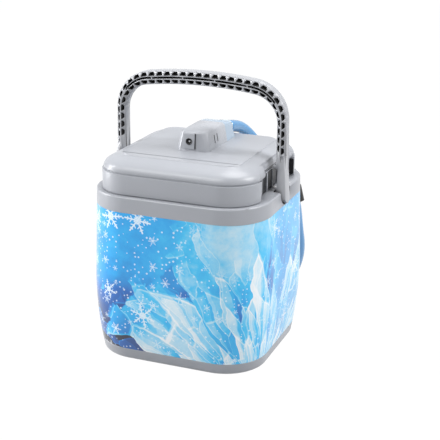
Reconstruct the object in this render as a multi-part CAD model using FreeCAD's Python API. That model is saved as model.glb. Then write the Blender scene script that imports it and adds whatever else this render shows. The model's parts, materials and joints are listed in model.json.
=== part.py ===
"""Cold therapy cooler: an insulated bucket with a bail handle and a pump that hangs from its lid.

Millimetres. +Z is up, the front faces -Y, and the origin is on the floor under the bucket's centre.
Each function returns the solid of one piece, and main() writes every piece to parts/NAME.step.
"""
import FreeCAD, Part
import math
import os

V = FreeCAD.Vector
UP = V(0, 0, 1)
ALONG_X = V(1, 0, 0)
ALONG_Y = V(0, 1, 0)
SIDES = (-1, 1)
OVERCUT = 2.0                   # how far a cutting tool runs past the face it opens
TOUCH = 0.01                    # an edge this near to a plane lies on it

# ---- bucket ----
BODY_HALF_X = 107.9             # half width at the widest level
BODY_HALF_Y = 103.9             # half depth there
BODY_CORNER = 54.0              # radius of the upright corners there
WIDEST_Z = 95.0                 # height of the widest level
BASE_TAPER_X = 7.2              # how far the sides draw in from there to the floor
BASE_TAPER_Y = 8.8
BASE_CORNER_LOSS = 4.0          # how much the corner radius shrinks on the way
TAPER_POWER = 2.2               # how late the draw starts
RIM_TAPER = 1.0                 # how far the sides draw in from the widest level to the rim
BODY_LEVELS = (0.0, 0.16, 0.4, 0.7, 1.0)    # levels of the form, as shares of the widest level's height
RIM_Z = 200.0                   # top face of the collar
COLLAR_HEIGHT = 18.0
COLLAR_BOTTOM_Z = RIM_Z - COLLAR_HEIGHT
COLLAR_EDGE_RADIUS = 2.0
TRIM_TOP_Z = 13.7
SLEEVE_THICKNESS = 0.8
TRIM_THICKNESS = 2.0
SHELL_INSET = 4.0               # from the outside of the sleeve to the inside of the shell
TRIM_FLOOR = 2.6
TRIM_EDGE = 3.0
SHELL_FLOOR = 2.4

# ---- reservoir ----
RESERVOIR_WALL_X = 23.9         # from the bucket's widest outside to the inside of the liner at the rim
RESERVOIR_WALL_Y = 23.4
RESERVOIR_HALF_X = BODY_HALF_X - RESERVOIR_WALL_X
RESERVOIR_HALF_Y = BODY_HALF_Y - RESERVOIR_WALL_Y
RESERVOIR_CORNER = 34.0
RESERVOIR_DRAFT = 6.0           # how much smaller it is at its floor, on each side
RESERVOIR_FLOOR_Z = 22.4
LINER_THICKNESS = 2.4

# ---- ear sockets and pins ----
PIVOT_DROP = 0.4                # pivot below the rim
PIVOT_Z = RIM_Z - PIVOT_DROP
SOCKET_RADIUS = 17.0
SOCKET_DEPTH = 10.5             # from the bucket's widest outside to the inner wall of each ear socket
SOCKET_WALL_X = BODY_HALF_X - SOCKET_DEPTH
PIN_RADIUS = 3.0
PIN_GRIP = 7.9                  # length pressed into the collar
PIN_STAND = 6.6                 # length that the ear turns on
PIN_INNER_X = SOCKET_WALL_X - PIN_GRIP
PIN_OUTER_X = SOCKET_WALL_X + PIN_STAND
PIN_CLEARANCE = 0.07

# ---- bail handle ----
BAIL_INSET = 3.2                # from the bucket's widest outside to the outer face of the legs
BAIL_HALF_WIDTH = BODY_HALF_X - BAIL_INSET
BAIL_RISE = 128.4
BAIL_TOP_Z = PIVOT_Z + BAIL_RISE
BAIL_CROWN_RADIUS = 514.0
BAIL_CORNER_RADIUS = 45.0
BAIL_LEG_THICKNESS = 10.5
BAIL_GRIP_THICKNESS = 15.7
BAIL_INNER_CORNER = 32.0
BAIL_DEPTH = 17.0
BAIL_EDGE_RADIUS = 2.2
BAIL_SLOPE_INSET = 4.4          # how far each sloped flank of the front runs in from the outline
BAIL_SLOPE_DEPTH = 3.4          # how far the ridge stands in front of the flanks' outer edges
LEG_FOOT_Z = PIVOT_Z + 22.4
POCKET_PITCH = 9.8
POCKET_LENGTH = 7.9
POCKET_OUTLINE = ((-1, 0), (1, 0), (0.94, 0.42), (0.5, 0.92), (-0.5, 0.92), (-0.94, 0.42))
POCKET_MARGIN = 0.9             # solid rim between a pocket and the outline beside it
POCKET_DEPTH = 8.0
GRIP_POCKET_HEIGHT = 4.6
LEG_POCKET_HEIGHT = 3.5
POCKET_START_RISE = 36.4         # from the pivots up to the lowest pocket
POCKET_LOWEST_Z = PIVOT_Z + POCKET_START_RISE
SLOT_WIDTH = 1.5
SLOT_PITCHES = 4                # pockets beside each long slot of the ridge
SLOT_COUNT = 5

# ---- ears of the bail ----
EAR_GAP = 0.6                   # air between each ear and its socket's wall
EAR_INNER_X = SOCKET_WALL_X + EAR_GAP
EAR_TIP_Z = PIVOT_Z - 16.0
EAR_SHOULDER_Z = PIVOT_Z + 3.4
EAR_HALF_WIDTH = 13.0
EAR_RISE = 40.4                 # from the pivots up to where the ear ends in the leg
EAR_TOP_Z = PIVOT_Z + EAR_RISE
EAR_TOP_HALF_WIDTH = 6.5
EAR_LOW_POINT = (10.2, PIVOT_Z - 7.6)       # half width and height of a point on the lower edge
EAR_HIGH_POINT = (10.9, PIVOT_Z + 17.4)
EAR_CREST_INSET = 0.7           # from the bucket's widest outside to the crest of the ear's round face
EAR_CREST_X = BODY_HALF_X - EAR_CREST_INSET
EAR_CREST_RADIUS = 14.2

# ---- lid ----
LID_INSET_X = 9.5               # from the bucket's widest outside to the lid's band
LID_INSET_Y = 7.7
LID_HALF_X = BODY_HALF_X - LID_INSET_X
LID_HALF_Y = BODY_HALF_Y - LID_INSET_Y
LID_CORNER = 45.0
LID_RIM_GAP = 0.4               # air between the lid's band and the collar
BAND_HEIGHT = 23.2
PARTING_Z = RIM_Z + BAND_HEIGHT
PARTING_GAP = 0.9
PARTING_DEPTH = 1.6
LID_WALL = 2.5
LID_FLOOR_RISE = 3.0            # from the rim to the underside of the lid's floor
LID_FLOOR_Z = RIM_Z + LID_FLOOR_RISE
DOME_LEVELS = (                 # height above the parting line, inset, corner radius
    (0.0, 0.6, 44.5),
    (4.0, -0.6, 45.5),
    (8.5, 2.6, 43.0),
    (12.5, 9.6, 36.0),
    (15.6, 18.6, 24.0),
    (17.7, 25.6, 13.0),
)
DOME_LEAST_CORNER = 2.0         # smallest corner radius of the dome's hollow
LID_TOP_Z = PARTING_Z + DOME_LEVELS[-1][0]
NOTCH_DEPTH = 10.4
NOTCH_WALL_X = LID_HALF_X - NOTCH_DEPTH
NOTCH_HALF_LENGTH = 57.0
NOTCH_CORNER = 9.0
RIB_THICKNESS = 1.6
RIB_STAND = 1.2
RIB_PITCH = 19.0
RIB_COUNT = 5
RECESS_DEPTH = 1.4              # upright recess in the rear end of each notch
RECESS_MARGIN = 2.2
RECESS_WIDTH = 5.6
RECESS_LOW = 3.6
RECESS_HEIGHT = 17.0
PLUG_CLEARANCE = 1.0
PLUG_DEPTH = 19.0
PLUG_BOTTOM_Z = RIM_Z - PLUG_DEPTH
PLUG_WALL = 2.4
GASKET_WIDTH = 3.4
FOAM_GAP = 0.5

# ---- lugs of the bail ----
LUG_RADIUS = 2.4
LUG_GAP = 1.6                   # air between a lug and the notch's back wall
LUG_TIP_X = NOTCH_WALL_X + LUG_GAP
LUG_Z = PIVOT_Z + 26.4
LUG_Y = -3.0

# ---- pump housing ----
HOUSING_X = 1.0
HOUSING_FRONT_Y = -28.5
HOUSING_REAR_Y = 60.0
HOUSING_HALF_X = 20.5
HOUSING_TOP_Z = LID_TOP_Z + 22.6
HOUSING_REAR_Z = LID_TOP_Z + 17.6
HOUSING_BOW = 0.75              # share of the top's fall that is left halfway along its rear half
HOUSING_DRAFT_X = 4.2
HOUSING_DRAFT_FRONT = 1.6
HOUSING_DRAFT_REAR = 6.0
HOUSING_CORNER = 5.0
HOUSING_TOP_BLEND = 2.2
HOUSING_TOP_MARGIN = 0.5        # edges from this far below the rear height upwards are blended
HOUSING_WALL = 2.2
VENT_WIDTH = 1.8
VENT_PITCH = 8.6
VENT_COUNT = 2
VENT_FIRST_Y = HOUSING_FRONT_Y + 22.5
VENT_LOW_Z = LID_TOP_Z + 6.1
VENT_HIGH_Z = LID_TOP_Z + 15.6
SCREW_RADIUS = 1.5
SCREW_HEAD_RADIUS = 3.0
SCREW_HEAD_HEIGHT = 2.0
HOUSING_SCREW_X = 13.0
HOUSING_SCREW_Y = (HOUSING_FRONT_Y + 8.5, HOUSING_REAR_Y - 18.0)
HOUSING_SCREW_LENGTH = 9.0

# ---- power jack ----
JACK_X = HOUSING_X - 3.8
JACK_Z = LID_TOP_Z + 10.9
JACK_PLATE_HALF_X = 6.6
JACK_PLATE_LOW_Z = LID_TOP_Z + 2.1
JACK_PLATE_HIGH_Z = LID_TOP_Z + 20.1
JACK_PLATE_STAND = 1.0
JACK_PLATE_DEPTH = 4.0
JACK_RADIUS = 3.9
JACK_BORE_RADIUS = 2.8
JACK_DEPTH = 11.0
JACK_STAND = 0.5
JACK_PIN_RADIUS = 1.05
JACK_FLOOR = 2.0

# ---- hose ----
HOSE_RADIUS = 7.5
GLAND_RADIUS = 9.2
GLAND_TIP_RADIUS = 8.3
GLAND_LENGTH = 14.4
GLAND_BORE_SHARE = 0.8          # share of its length that the water's bore takes
HOSE_EXIT = V(HOUSING_X + 7.6, HOUSING_REAR_Y + 2.0, LID_TOP_Z + 9.6)
BACK_Y = BODY_HALF_Y            # the route's points behind the bucket are set from its rear face
HOSE_ROUTE = (HOSE_EXIT, V(12.2, BACK_Y - 19.9, 247.9), V(18.3, BACK_Y - 0.7, 237.2),
              V(30, BACK_Y + 13.6, 216), V(53, BACK_Y + 16.6, 196.5), V(76, BACK_Y + 10.1, 172),
              V(83, BACK_Y + 9.1, 146), V(86.2, BACK_Y + 10.4, 116), V(90, BACK_Y + 13.6, 85),
              V(79.5, BACK_Y + 21.1, 50), V(55, BACK_Y + 30.1, 22.5), V(18, BACK_Y + 35.1, HOSE_RADIUS),
              V(-7, BACK_Y + 34.9, HOSE_RADIUS))
LID_CORNERS = 3                 # corners of the route that the lid carries
CLIP_CORNERS = 5                # corners of the route above the clip
COIL_SETBACK = 126.1            # from the bucket's rear face to the middle of the coil
COIL_CENTRE = (-62.0, BACK_Y + COIL_SETBACK)
COIL_TURNS = 1.5
COIL_OUTER_RADIUS = 92.0        # centreline of the first turn
TAIL_Y = COIL_CENTRE[1]         # the tail's points are set from the coil's centre
TAIL_ROUTE = (V(-62, TAIL_Y + 69.5, 7.5), V(-34.6, TAIL_Y + 60, 9.5), V(-16.5, TAIL_Y + 37.4, 13),
              V(-13.1, TAIL_Y + 8.6, 17), V(-25.7, TAIL_Y - 17.6, 20.5), V(-50.2, TAIL_Y - 33, 23.5),
              V(-94.2, TAIL_Y - 33, 23.5))
BEND_SHARE = 0.45               # share of the shorter run that an arc of the route takes

# ---- hose clip ----
CLIP_BORE_CLEARANCE = 1.2
CLIP_WALL = 3.4
CLIP_HEIGHT = 20.0
CLIP_ARM_WIDTH = 9.0
CLIP_PAD_THICKNESS = 2.2
CLIP_PAD_HALF_WIDTH = 15.0
CLIP_PAD_HEIGHT = 30.0
CLIP_SCREW_RISE = 11.0

# ---- coupling ----
COUPLING_LENGTH = 46.0
COUPLING_WIDTH = 27.0
COUPLING_HEIGHT = 17.0
COUPLING_EDGE = 3.0
COUPLING_BORE_RADIUS = 4.0
COUPLING_BORE_DEPTH = 14.0
COUPLING_BORE_SPACING = 13.0
BUTTON_LENGTH = 13.0
BUTTON_WIDTH = 11.0
BUTTON_STAND = 2.6
BUTTON_TRAVEL = 2.0
BUTTON_SKIRT = 2.6              # how deep the button sits in its well at rest
BUTTON_CLEARANCE = 0.4

# ---- pump under the lid ----
PUMP_Y = 12.0
STEM_RADIUS = 17.0
STEM_WALL = 2.0
MOTOR_RADIUS = 20.0
STRAINER_STAND = 3.6            # from the reservoir's floor to the strainer
STRAINER_HEIGHT = 12.0
CASING_HEIGHT = 18.0
MOTOR_HEIGHT = 36.0
STRAINER_BOTTOM_Z = RESERVOIR_FLOOR_Z + STRAINER_STAND
CASING_BOTTOM_Z = STRAINER_BOTTOM_Z + STRAINER_HEIGHT
CASING_TOP_Z = CASING_BOTTOM_Z + CASING_HEIGHT
MOTOR_TOP_Z = CASING_TOP_Z + MOTOR_HEIGHT
CASING_RADIUS = 23.0
CASING_WALL = 2.4
STRAINER_RADIUS = 19.0
STRAINER_SLOTS = 12
STRAINER_SLOT_WIDTH = 3.0
INTAKE_RADIUS = 6.0
IMPELLER_RADIUS = 15.0
IMPELLER_THICKNESS = 2.0
VANE_HEIGHT = 5.5
VANE_THICKNESS = 1.4
VANE_COUNT = 6
VANE_INSET = 1.0                # how far each vane runs into the hub, and stops short of the rim
IMPELLER_GAP = 1.4
HUB_RADIUS = 4.0
SHAFT_RADIUS = 1.5
SHAFT_CLEARANCE = 0.06
SHAFT_DEPTH_IN_MOTOR = 18.0
SUPPLY_RADIUS = 4.0
SUPPLY_CLEARANCE = 1.5
SUPPLY_OFFSET = V(0, STEM_RADIUS - STEM_WALL - SUPPLY_RADIUS - SUPPLY_CLEARANCE, 0)
RETURN_OFFSET_X = 40.0
RETURN_REACH = 50.0             # how far the return tube hangs below the rim
RETURN_BOTTOM_Z = RIM_Z - RETURN_REACH
LEAD_RADIUS = 1.3
LEAD_CLEARANCE = 4.2
LEAD_OFFSET = V(0, LEAD_RADIUS + LEAD_CLEARANCE + STEM_WALL - STEM_RADIUS, 0)
LEAD_RISE = 8.0                 # how far the water tube and the wires reach into the housing
CASING_SCREW_COUNT = 3


# ---- shared shapes ----
def rounded_rectangle(half_x, half_y, radius, z, centre_x=0.0, centre_y=0.0):
    """A level outline with straight sides and quarter round corners."""
    edges = []
    diagonal = radius * math.sqrt(0.5)
    corners = ((1, -1), (1, 1), (-1, 1), (-1, -1))
    ends = []
    for sx, sy in corners:
        hub = V(centre_x + sx * (half_x - radius), centre_y + sy * (half_y - radius), z)
        along_x = hub + V(0, sy * radius, 0)
        along_y = hub + V(sx * radius, 0, 0)
        start, end = (along_x, along_y) if sx * sy < 0 else (along_y, along_x)
        edges.append(Part.Arc(start, hub + V(sx * diagonal, sy * diagonal, 0), end).toShape())
        ends.append((start, end))
    for index in range(len(ends)):
        here, following = ends[index], ends[(index + 1) % len(ends)]
        edges.append(Part.LineSegment(here[1], following[0]).toShape())
    return Part.Wire(Part.__sortEdges__(edges))


def prism(wire, height):
    """The upright solid on a level outline."""
    return Part.Face(wire).extrude(UP * height)


def slab(low_z, high_z):
    """A level slice of space, wider than the bucket, used to keep part of a solid."""
    half = 2 * max(BODY_HALF_X, BODY_HALF_Y)
    return Part.makeBox(2 * half, 2 * half, high_z - low_z, V(-half, -half, low_z))


def box_between(low, high):
    """A box from its lowest to its highest corner."""
    size = high - low
    return Part.makeBox(size.x, size.y, size.z, low)


def cylinder(radius, start, end):
    """A round bar from one point to another."""
    axis = end - start
    return Part.makeCylinder(radius, axis.Length, start, axis)


def mirrored(shape):
    """The same shape on the other side of the machine."""
    return shape.mirror(V(0, 0, 0), ALONG_X)


def both_sides(shape):
    """A shape of the right side with its mirror image."""
    return shape.fuse(mirrored(shape))


def edges_at(shape, test):
    """The edges whose every sampled point passes a test."""
    kept = []
    for edge in shape.Edges:
        if all(test(point) for point in edge.discretize(5)):
            kept.append(edge)
    return kept


# ---- bucket ----
def body_section(inset, z):
    """The bucket's outline at a height, moved inwards by an inset."""
    if z < WIDEST_Z:
        draw = (1 - z / WIDEST_Z) ** TAPER_POWER
        half_x = BODY_HALF_X - BASE_TAPER_X * draw
        half_y = BODY_HALF_Y - BASE_TAPER_Y * draw
        corner = BODY_CORNER - BASE_CORNER_LOSS * draw
    else:
        draw = (z - WIDEST_Z) / (RIM_Z - WIDEST_Z)
        half_x = BODY_HALF_X - RIM_TAPER * draw
        half_y = BODY_HALF_Y - RIM_TAPER * draw
        corner = BODY_CORNER
    return rounded_rectangle(half_x - inset, half_y - inset, corner - inset, z)


def body_form(inset):
    """The bucket's solid form from the floor to the rim."""
    levels = [WIDEST_Z * share for share in BODY_LEVELS] + [RIM_Z]
    return Part.makeLoft([body_section(inset, z) for z in levels], True, True)


def reservoir_form(inset):
    """The reservoir's tapered form, open past the rim; a negative inset grows it."""
    top = rounded_rectangle(RESERVOIR_HALF_X - inset, RESERVOIR_HALF_Y - inset,
                            RESERVOIR_CORNER - inset, RIM_Z)
    bottom = rounded_rectangle(RESERVOIR_HALF_X - RESERVOIR_DRAFT - inset,
                               RESERVOIR_HALF_Y - RESERVOIR_DRAFT - inset,
                               RESERVOIR_CORNER - RESERVOIR_DRAFT - inset, RESERVOIR_FLOOR_Z + inset)
    return Part.makeLoft([bottom, top], True, True)


def printed_sleeve():
    """Thin printed wrap between the base tray and the collar."""
    ring = body_form(0).cut(body_form(SLEEVE_THICKNESS))
    return ring.common(slab(TRIM_TOP_Z, COLLAR_BOTTOM_Z)).cut(clip_screws())


def outer_shell():
    """Bucket wall and floor, stepped in where the base tray holds it."""
    upper = body_form(SLEEVE_THICKNESS).common(slab(TRIM_TOP_Z, COLLAR_BOTTOM_Z))
    lower = body_form(TRIM_THICKNESS).common(slab(TRIM_FLOOR, TRIM_TOP_Z))
    inside = body_form(SHELL_INSET).common(slab(TRIM_FLOOR + SHELL_FLOOR, COLLAR_BOTTOM_Z))
    return upper.fuse(lower).cut(inside).cut(clip_screws())


def base_trim():
    """Grey tray round the foot of the bucket; the machine stands on its flat underside."""
    tray = body_form(0).common(slab(0, TRIM_TOP_Z))
    bottom_edges = edges_at(tray, lambda point: abs(point.z) < TOUCH)
    tray = tray.makeFillet(TRIM_EDGE, bottom_edges)
    return tray.cut(body_form(TRIM_THICKNESS).common(slab(TRIM_FLOOR, TRIM_TOP_Z)))


def foam_insulation():
    """Foam that fills the room between the shell and the liner."""
    block = body_form(SHELL_INSET).common(slab(TRIM_FLOOR + SHELL_FLOOR, COLLAR_BOTTOM_Z))
    return block.cut(reservoir_form(-LINER_THICKNESS))


def inner_liner():
    """White reservoir liner, open at the rim."""
    return reservoir_form(-LINER_THICKNESS).cut(reservoir_form(0))


def ear_sockets():
    """The round sockets that the bail's ears turn in."""
    socket = cylinder(SOCKET_RADIUS, V(SOCKET_WALL_X, 0, PIVOT_Z),
                      V(BODY_HALF_X + OVERCUT, 0, PIVOT_Z))
    return both_sides(socket)


def collar():
    """Grey rim on top of the shell, with the ear sockets and pin bores."""
    ring = body_form(0).common(slab(COLLAR_BOTTOM_Z, RIM_Z))
    top_edges = edges_at(ring, lambda point: abs(point.z - RIM_Z) < TOUCH)
    ring = ring.makeFillet(COLLAR_EDGE_RADIUS, top_edges)
    ring = ring.cut(reservoir_form(-LINER_THICKNESS))
    return ring.cut(ear_sockets()).cut(pivot_pins())


def pivot_pins():
    """Two pins pressed into the collar, one for each ear."""
    pin = cylinder(PIN_RADIUS, V(PIN_INNER_X, 0, PIVOT_Z), V(PIN_OUTER_X, 0, PIVOT_Z))
    return Part.makeCompound([pin, mirrored(pin)])


# ---- hose clip ----
def clip_centre():
    """The middle of the clip's ring, on the hose's run through it."""
    return (HOSE_ROUTE[CLIP_CORNERS] + HOSE_ROUTE[CLIP_CORNERS + 1]) / 2


def clip_lean():
    """Direction of the hose through the clip."""
    run = HOSE_ROUTE[CLIP_CORNERS + 1] - HOSE_ROUTE[CLIP_CORNERS]
    return run / run.Length


def clip_hub():
    """Centre of the bucket's corner at the clip's height."""
    return V(BODY_HALF_X - BODY_CORNER, BODY_HALF_Y - BODY_CORNER, clip_centre().z)


def clip_direction():
    """Level direction from the bucket's corner towards the clip."""
    outwards = clip_centre() - clip_hub()
    return outwards / outwards.Length


def clip_screws():
    """Two screws that hold the clip's pad to the bucket."""
    outwards = clip_direction()
    screws = []
    for side in SIDES:
        seat = clip_seat() + UP * (side * CLIP_SCREW_RISE)
        shank = cylinder(SCREW_RADIUS, seat - outwards * SHELL_INSET,
                         seat + outwards * CLIP_PAD_THICKNESS)
        head = Part.makeCylinder(SCREW_HEAD_RADIUS, SCREW_HEAD_HEIGHT,
                                 seat + outwards * CLIP_PAD_THICKNESS, outwards)
        screws.append(shank.fuse(head))
    return Part.makeCompound(screws)


def clip_seat():
    """The point of the bucket's corner that the clip's pad is centred on."""
    return clip_hub() + clip_direction() * (BODY_CORNER - RIM_TAPER / 2)


def hose_clip():
    """Black clip: a pad on the bucket's corner, an arm and a ring round the hose."""
    outwards = clip_direction()
    seat = clip_seat()
    centre = clip_centre()
    block = Part.makeBox(CLIP_PAD_HALF_WIDTH * 2, CLIP_PAD_HALF_WIDTH * 2, CLIP_PAD_HEIGHT,
                         V(-CLIP_PAD_HALF_WIDTH, -CLIP_PAD_HALF_WIDTH, -CLIP_PAD_HEIGHT / 2))
    heading = math.degrees(math.atan2(outwards.y, outwards.x))
    block.rotate(V(0, 0, 0), UP, heading)
    block.translate(seat)
    pad = body_form(-CLIP_PAD_THICKNESS).cut(body_form(0)).common(block)
    bore = HOSE_RADIUS + CLIP_BORE_CLEARANCE
    half_height = clip_lean() * (CLIP_HEIGHT / 2)
    ring = cylinder(bore + CLIP_WALL, centre - half_height, centre + half_height)
    reach = (centre - seat).Length - bore - CLIP_WALL / 2
    arm = Part.makeBox(reach, CLIP_ARM_WIDTH, CLIP_HEIGHT / 2,
                       V(0, -CLIP_ARM_WIDTH / 2, -CLIP_HEIGHT / 4))
    arm.rotate(V(0, 0, 0), UP, heading)
    arm.translate(seat)
    arm = arm.cut(body_form(0))
    hole = cylinder(bore, centre - half_height * 2, centre + half_height * 2)
    return pad.fuse(arm).fuse(ring).cut(hole).cut(clip_screws()).removeSplitter()


# ---- bail handle ----
class Arch:
    """The bail's outline: upright legs, round corners and a slightly crowned top."""

    def __init__(self, half_width, top, crown_radius, corner_radius):
        self.half_width = half_width
        self.top = top
        self.crown_radius = crown_radius
        self.corner_radius = corner_radius
        self.hub_x = half_width - corner_radius
        hub_reach = crown_radius - corner_radius
        self.hub_z = top - crown_radius + math.sqrt(hub_reach ** 2 - self.hub_x ** 2)
        self.crown_turn = math.asin(self.hub_x / hub_reach)
        self.crown_length = crown_radius * self.crown_turn
        self.corner_length = corner_radius * (math.pi / 2 - self.crown_turn)

    def inset(self, distance):
        """The outline a distance further in."""
        return Arch(self.half_width - distance, self.top - distance,
                    self.crown_radius - distance, self.corner_radius - distance)

    def station(self, length):
        """Place and lean at a length along the outline from the top's middle, right side positive."""
        side = -1 if length < 0 else 1
        left = abs(length)
        if left < self.crown_length:
            lean = left / self.crown_radius
            x = self.crown_radius * math.sin(lean)
            z = self.top - self.crown_radius * (1 - math.cos(lean))
        elif left < self.crown_length + self.corner_length:
            lean = self.crown_turn + (left - self.crown_length) / self.corner_radius
            x = self.hub_x + self.corner_radius * math.sin(lean)
            z = self.hub_z + self.corner_radius * math.cos(lean)
        else:
            lean = math.pi / 2
            x = self.half_width
            z = self.hub_z - (left - self.crown_length - self.corner_length)
        return V(side * x, 0, z), side * lean

    def wire(self, foot_z):
        """The closed outline in the plane of the bail, down to a foot level."""
        crown_end = self.crown_length
        corner_end = crown_end + self.corner_length
        edges = [Part.Arc(*[self.station(s)[0] for s in (-crown_end, 0, crown_end)]).toShape()]
        foot = []
        for side in SIDES:
            stops = [side * s for s in (crown_end, (crown_end + corner_end) / 2, corner_end)]
            edges.append(Part.Arc(*[self.station(s)[0] for s in stops]).toShape())
            bottom = V(side * self.half_width, 0, foot_z)
            edges.append(Part.LineSegment(self.station(stops[-1])[0], bottom).toShape())
            foot.append(bottom)
        edges.append(Part.LineSegment(*foot).toShape())
        return Part.Wire(Part.__sortEdges__(edges))


def outer_arch():
    """The bail's outer outline."""
    return Arch(BAIL_HALF_WIDTH, BAIL_TOP_Z, BAIL_CROWN_RADIUS, BAIL_CORNER_RADIUS)


def inner_arch():
    """The bail's inner outline."""
    return Arch(BAIL_HALF_WIDTH - BAIL_LEG_THICKNESS, BAIL_TOP_Z - BAIL_GRIP_THICKNESS,
                BAIL_CROWN_RADIUS - BAIL_GRIP_THICKNESS, BAIL_INNER_CORNER)


def pocket(place, lean, bulge, height):
    """A D shaped pocket in the bail's front face; bulge is 1 towards the outside, -1 inwards."""
    along = V(math.cos(lean), 0, -math.sin(lean)) * (POCKET_LENGTH / 2)
    across = V(math.sin(lean), 0, math.cos(lean)) * (bulge * height)
    outline = [place + along * x + across * z for x, z in POCKET_OUTLINE]
    face = Part.Face(Part.makePolygon(outline + outline[:1]))
    face.translate(V(0, -BAIL_DEPTH / 2 - OVERCUT, 0))
    return face.extrude(ALONG_Y * (POCKET_DEPTH + OVERCUT))


def pocket_row(arch, bulge):
    """One row of pockets along an outline, shallower on the legs than on the grip."""
    row = []
    corner_end = arch.crown_length + arch.corner_length
    count = int((corner_end + arch.hub_z - POCKET_LOWEST_Z) / POCKET_PITCH)
    for index in range(-count, count + 1):
        length = index * POCKET_PITCH
        blend = min(1.0, max(0.0, (abs(length) - arch.crown_length) / arch.corner_length))
        height = GRIP_POCKET_HEIGHT + (LEG_POCKET_HEIGHT - GRIP_POCKET_HEIGHT) * blend
        place, lean = arch.inset(bulge * (POCKET_MARGIN + height)).station(length)
        row.append(pocket(place, lean, bulge, height))
    return row


def ridge_slots():
    """Long thin slots along the ridge between the two rows of pockets."""
    outer, inner = outer_arch(), inner_arch()
    middle = Arch((outer.half_width + inner.half_width) / 2, (outer.top + inner.top) / 2,
                  (outer.crown_radius + inner.crown_radius) / 2,
                  (outer.corner_radius + inner.corner_radius) / 2)
    length = SLOT_PITCHES * POCKET_PITCH
    half = (length - POCKET_PITCH + POCKET_LENGTH) / 2
    slots = []
    for index in range(SLOT_COUNT):
        centre = (index - (SLOT_COUNT - 1) / 2) * length
        sides = []
        for offset in SIDES:
            rail = middle.inset(offset * SLOT_WIDTH / 2)
            ends = [rail.station(centre + step * half)[0] for step in (-1, 0, 1)]
            sides.append(ends)
        edges = [Part.Arc(*sides[0]).toShape(), Part.LineSegment(sides[0][2], sides[1][2]).toShape(),
                 Part.Arc(*reversed(sides[1])).toShape(),
                 Part.LineSegment(sides[1][0], sides[0][0]).toShape()]
        face = Part.Face(Part.Wire(edges))
        face.translate(V(0, -BAIL_DEPTH / 2 - OVERCUT, 0))
        slots.append(face.extrude(ALONG_Y * (POCKET_DEPTH + OVERCUT)))
    return slots


def ear():
    """The right ear: a leaf with a rounded outer face that hangs on its pin."""
    tip = V(EAR_INNER_X, 0, EAR_TIP_Z)
    edges = []
    tops = []
    for side in SIDES:
        shoulder = V(EAR_INNER_X, side * EAR_HALF_WIDTH, EAR_SHOULDER_Z)
        top = V(EAR_INNER_X, side * EAR_TOP_HALF_WIDTH, EAR_TOP_Z)
        low = V(EAR_INNER_X, side * EAR_LOW_POINT[0], EAR_LOW_POINT[1])
        high = V(EAR_INNER_X, side * EAR_HIGH_POINT[0], EAR_HIGH_POINT[1])
        edges.append(Part.Arc(tip, low, shoulder).toShape())
        edges.append(Part.Arc(shoulder, high, top).toShape())
        tops.append(top)
    edges.append(Part.LineSegment(*tops).toShape())
    leaf = Part.Face(Part.Wire(Part.__sortEdges__(edges)))
    leaf = leaf.extrude(ALONG_X * (EAR_CREST_X - EAR_INNER_X + OVERCUT))
    rise = EAR_TOP_Z - EAR_TIP_Z
    shoulder_hub = V(EAR_CREST_X - EAR_CREST_RADIUS, 0, EAR_SHOULDER_Z)
    top_hub = V(BAIL_HALF_WIDTH - EAR_CREST_RADIUS, 0, EAR_TOP_Z)
    slope = (top_hub - shoulder_hub) / (top_hub - shoulder_hub).Length
    crest = cylinder(EAR_CREST_RADIUS, shoulder_hub - slope * rise, top_hub + slope * rise)
    leaf = leaf.common(crest)
    bore = cylinder(PIN_RADIUS + PIN_CLEARANCE, V(EAR_INNER_X - OVERCUT, 0, PIVOT_Z),
                    V(PIN_OUTER_X + PIN_CLEARANCE, 0, PIVOT_Z))
    return leaf.cut(bore)


def lid_lug():
    """The round lug on the inside of the right leg that stands over the lid's side notch."""
    root_x = BAIL_HALF_WIDTH - BAIL_LEG_THICKNESS / 2
    bar = cylinder(LUG_RADIUS, V(LUG_TIP_X + LUG_RADIUS, LUG_Y, LUG_Z), V(root_x, LUG_Y, LUG_Z))
    tip = Part.makeCone(LUG_RADIUS / 2, LUG_RADIUS, LUG_RADIUS, V(LUG_TIP_X, LUG_Y, LUG_Z), ALONG_X)
    return bar.fuse(tip)


def gabled_block(outline, slope_inset, foot_z):
    """The room inside an outline, upright at the rear and drawn in at the bail's front face."""
    front_y = -BAIL_DEPTH / 2
    slope_y = front_y + BAIL_SLOPE_DEPTH
    foot = outline.wire(foot_z)
    foot.translate(ALONG_Y * slope_y)
    ridge = outline.inset(slope_inset).wire(foot_z)
    ridge.translate(ALONG_Y * front_y)
    upright = Part.Face(foot).extrude(ALONG_Y * (BAIL_DEPTH - BAIL_SLOPE_DEPTH))
    return upright.fuse(Part.makeLoft([foot, ridge], True, True))


def bail_handle():
    """The whole bail in one moulding: gabled arch, pockets, ridge slots, ears and lugs."""
    outer, inner = outer_arch(), inner_arch()
    arch = gabled_block(outer, BAIL_SLOPE_INSET, LEG_FOOT_Z)
    arch = arch.cut(gabled_block(inner, -BAIL_SLOPE_INSET, LEG_FOOT_Z - OVERCUT)).removeSplitter()
    rims = edges_at(arch, lambda point: abs(point.y - BAIL_DEPTH / 2) < TOUCH)
    rims = [edge for edge in rims if edge.Length > BAIL_GRIP_THICKNESS]
    arch = arch.makeFillet(BAIL_EDGE_RADIUS, rims)
    arch = arch.cut(pocket_row(outer, 1) + pocket_row(inner, -1) + ridge_slots())
    return arch.fuse([both_sides(ear()), both_sides(lid_lug())])


# ---- lid ----
def notch_form(growth):
    """The side notches of the lid, grown by a wall thickness."""
    half_length = NOTCH_HALF_LENGTH + growth
    depth = LID_HALF_X - NOTCH_WALL_X + growth + OVERCUT + NOTCH_CORNER
    centre_x = NOTCH_WALL_X - growth + depth / 2
    outline = rounded_rectangle(depth / 2, half_length, NOTCH_CORNER, RIM_Z - OVERCUT, centre_x)
    return both_sides(prism(outline, LID_TOP_Z - RIM_Z + 2 * OVERCUT))


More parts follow.
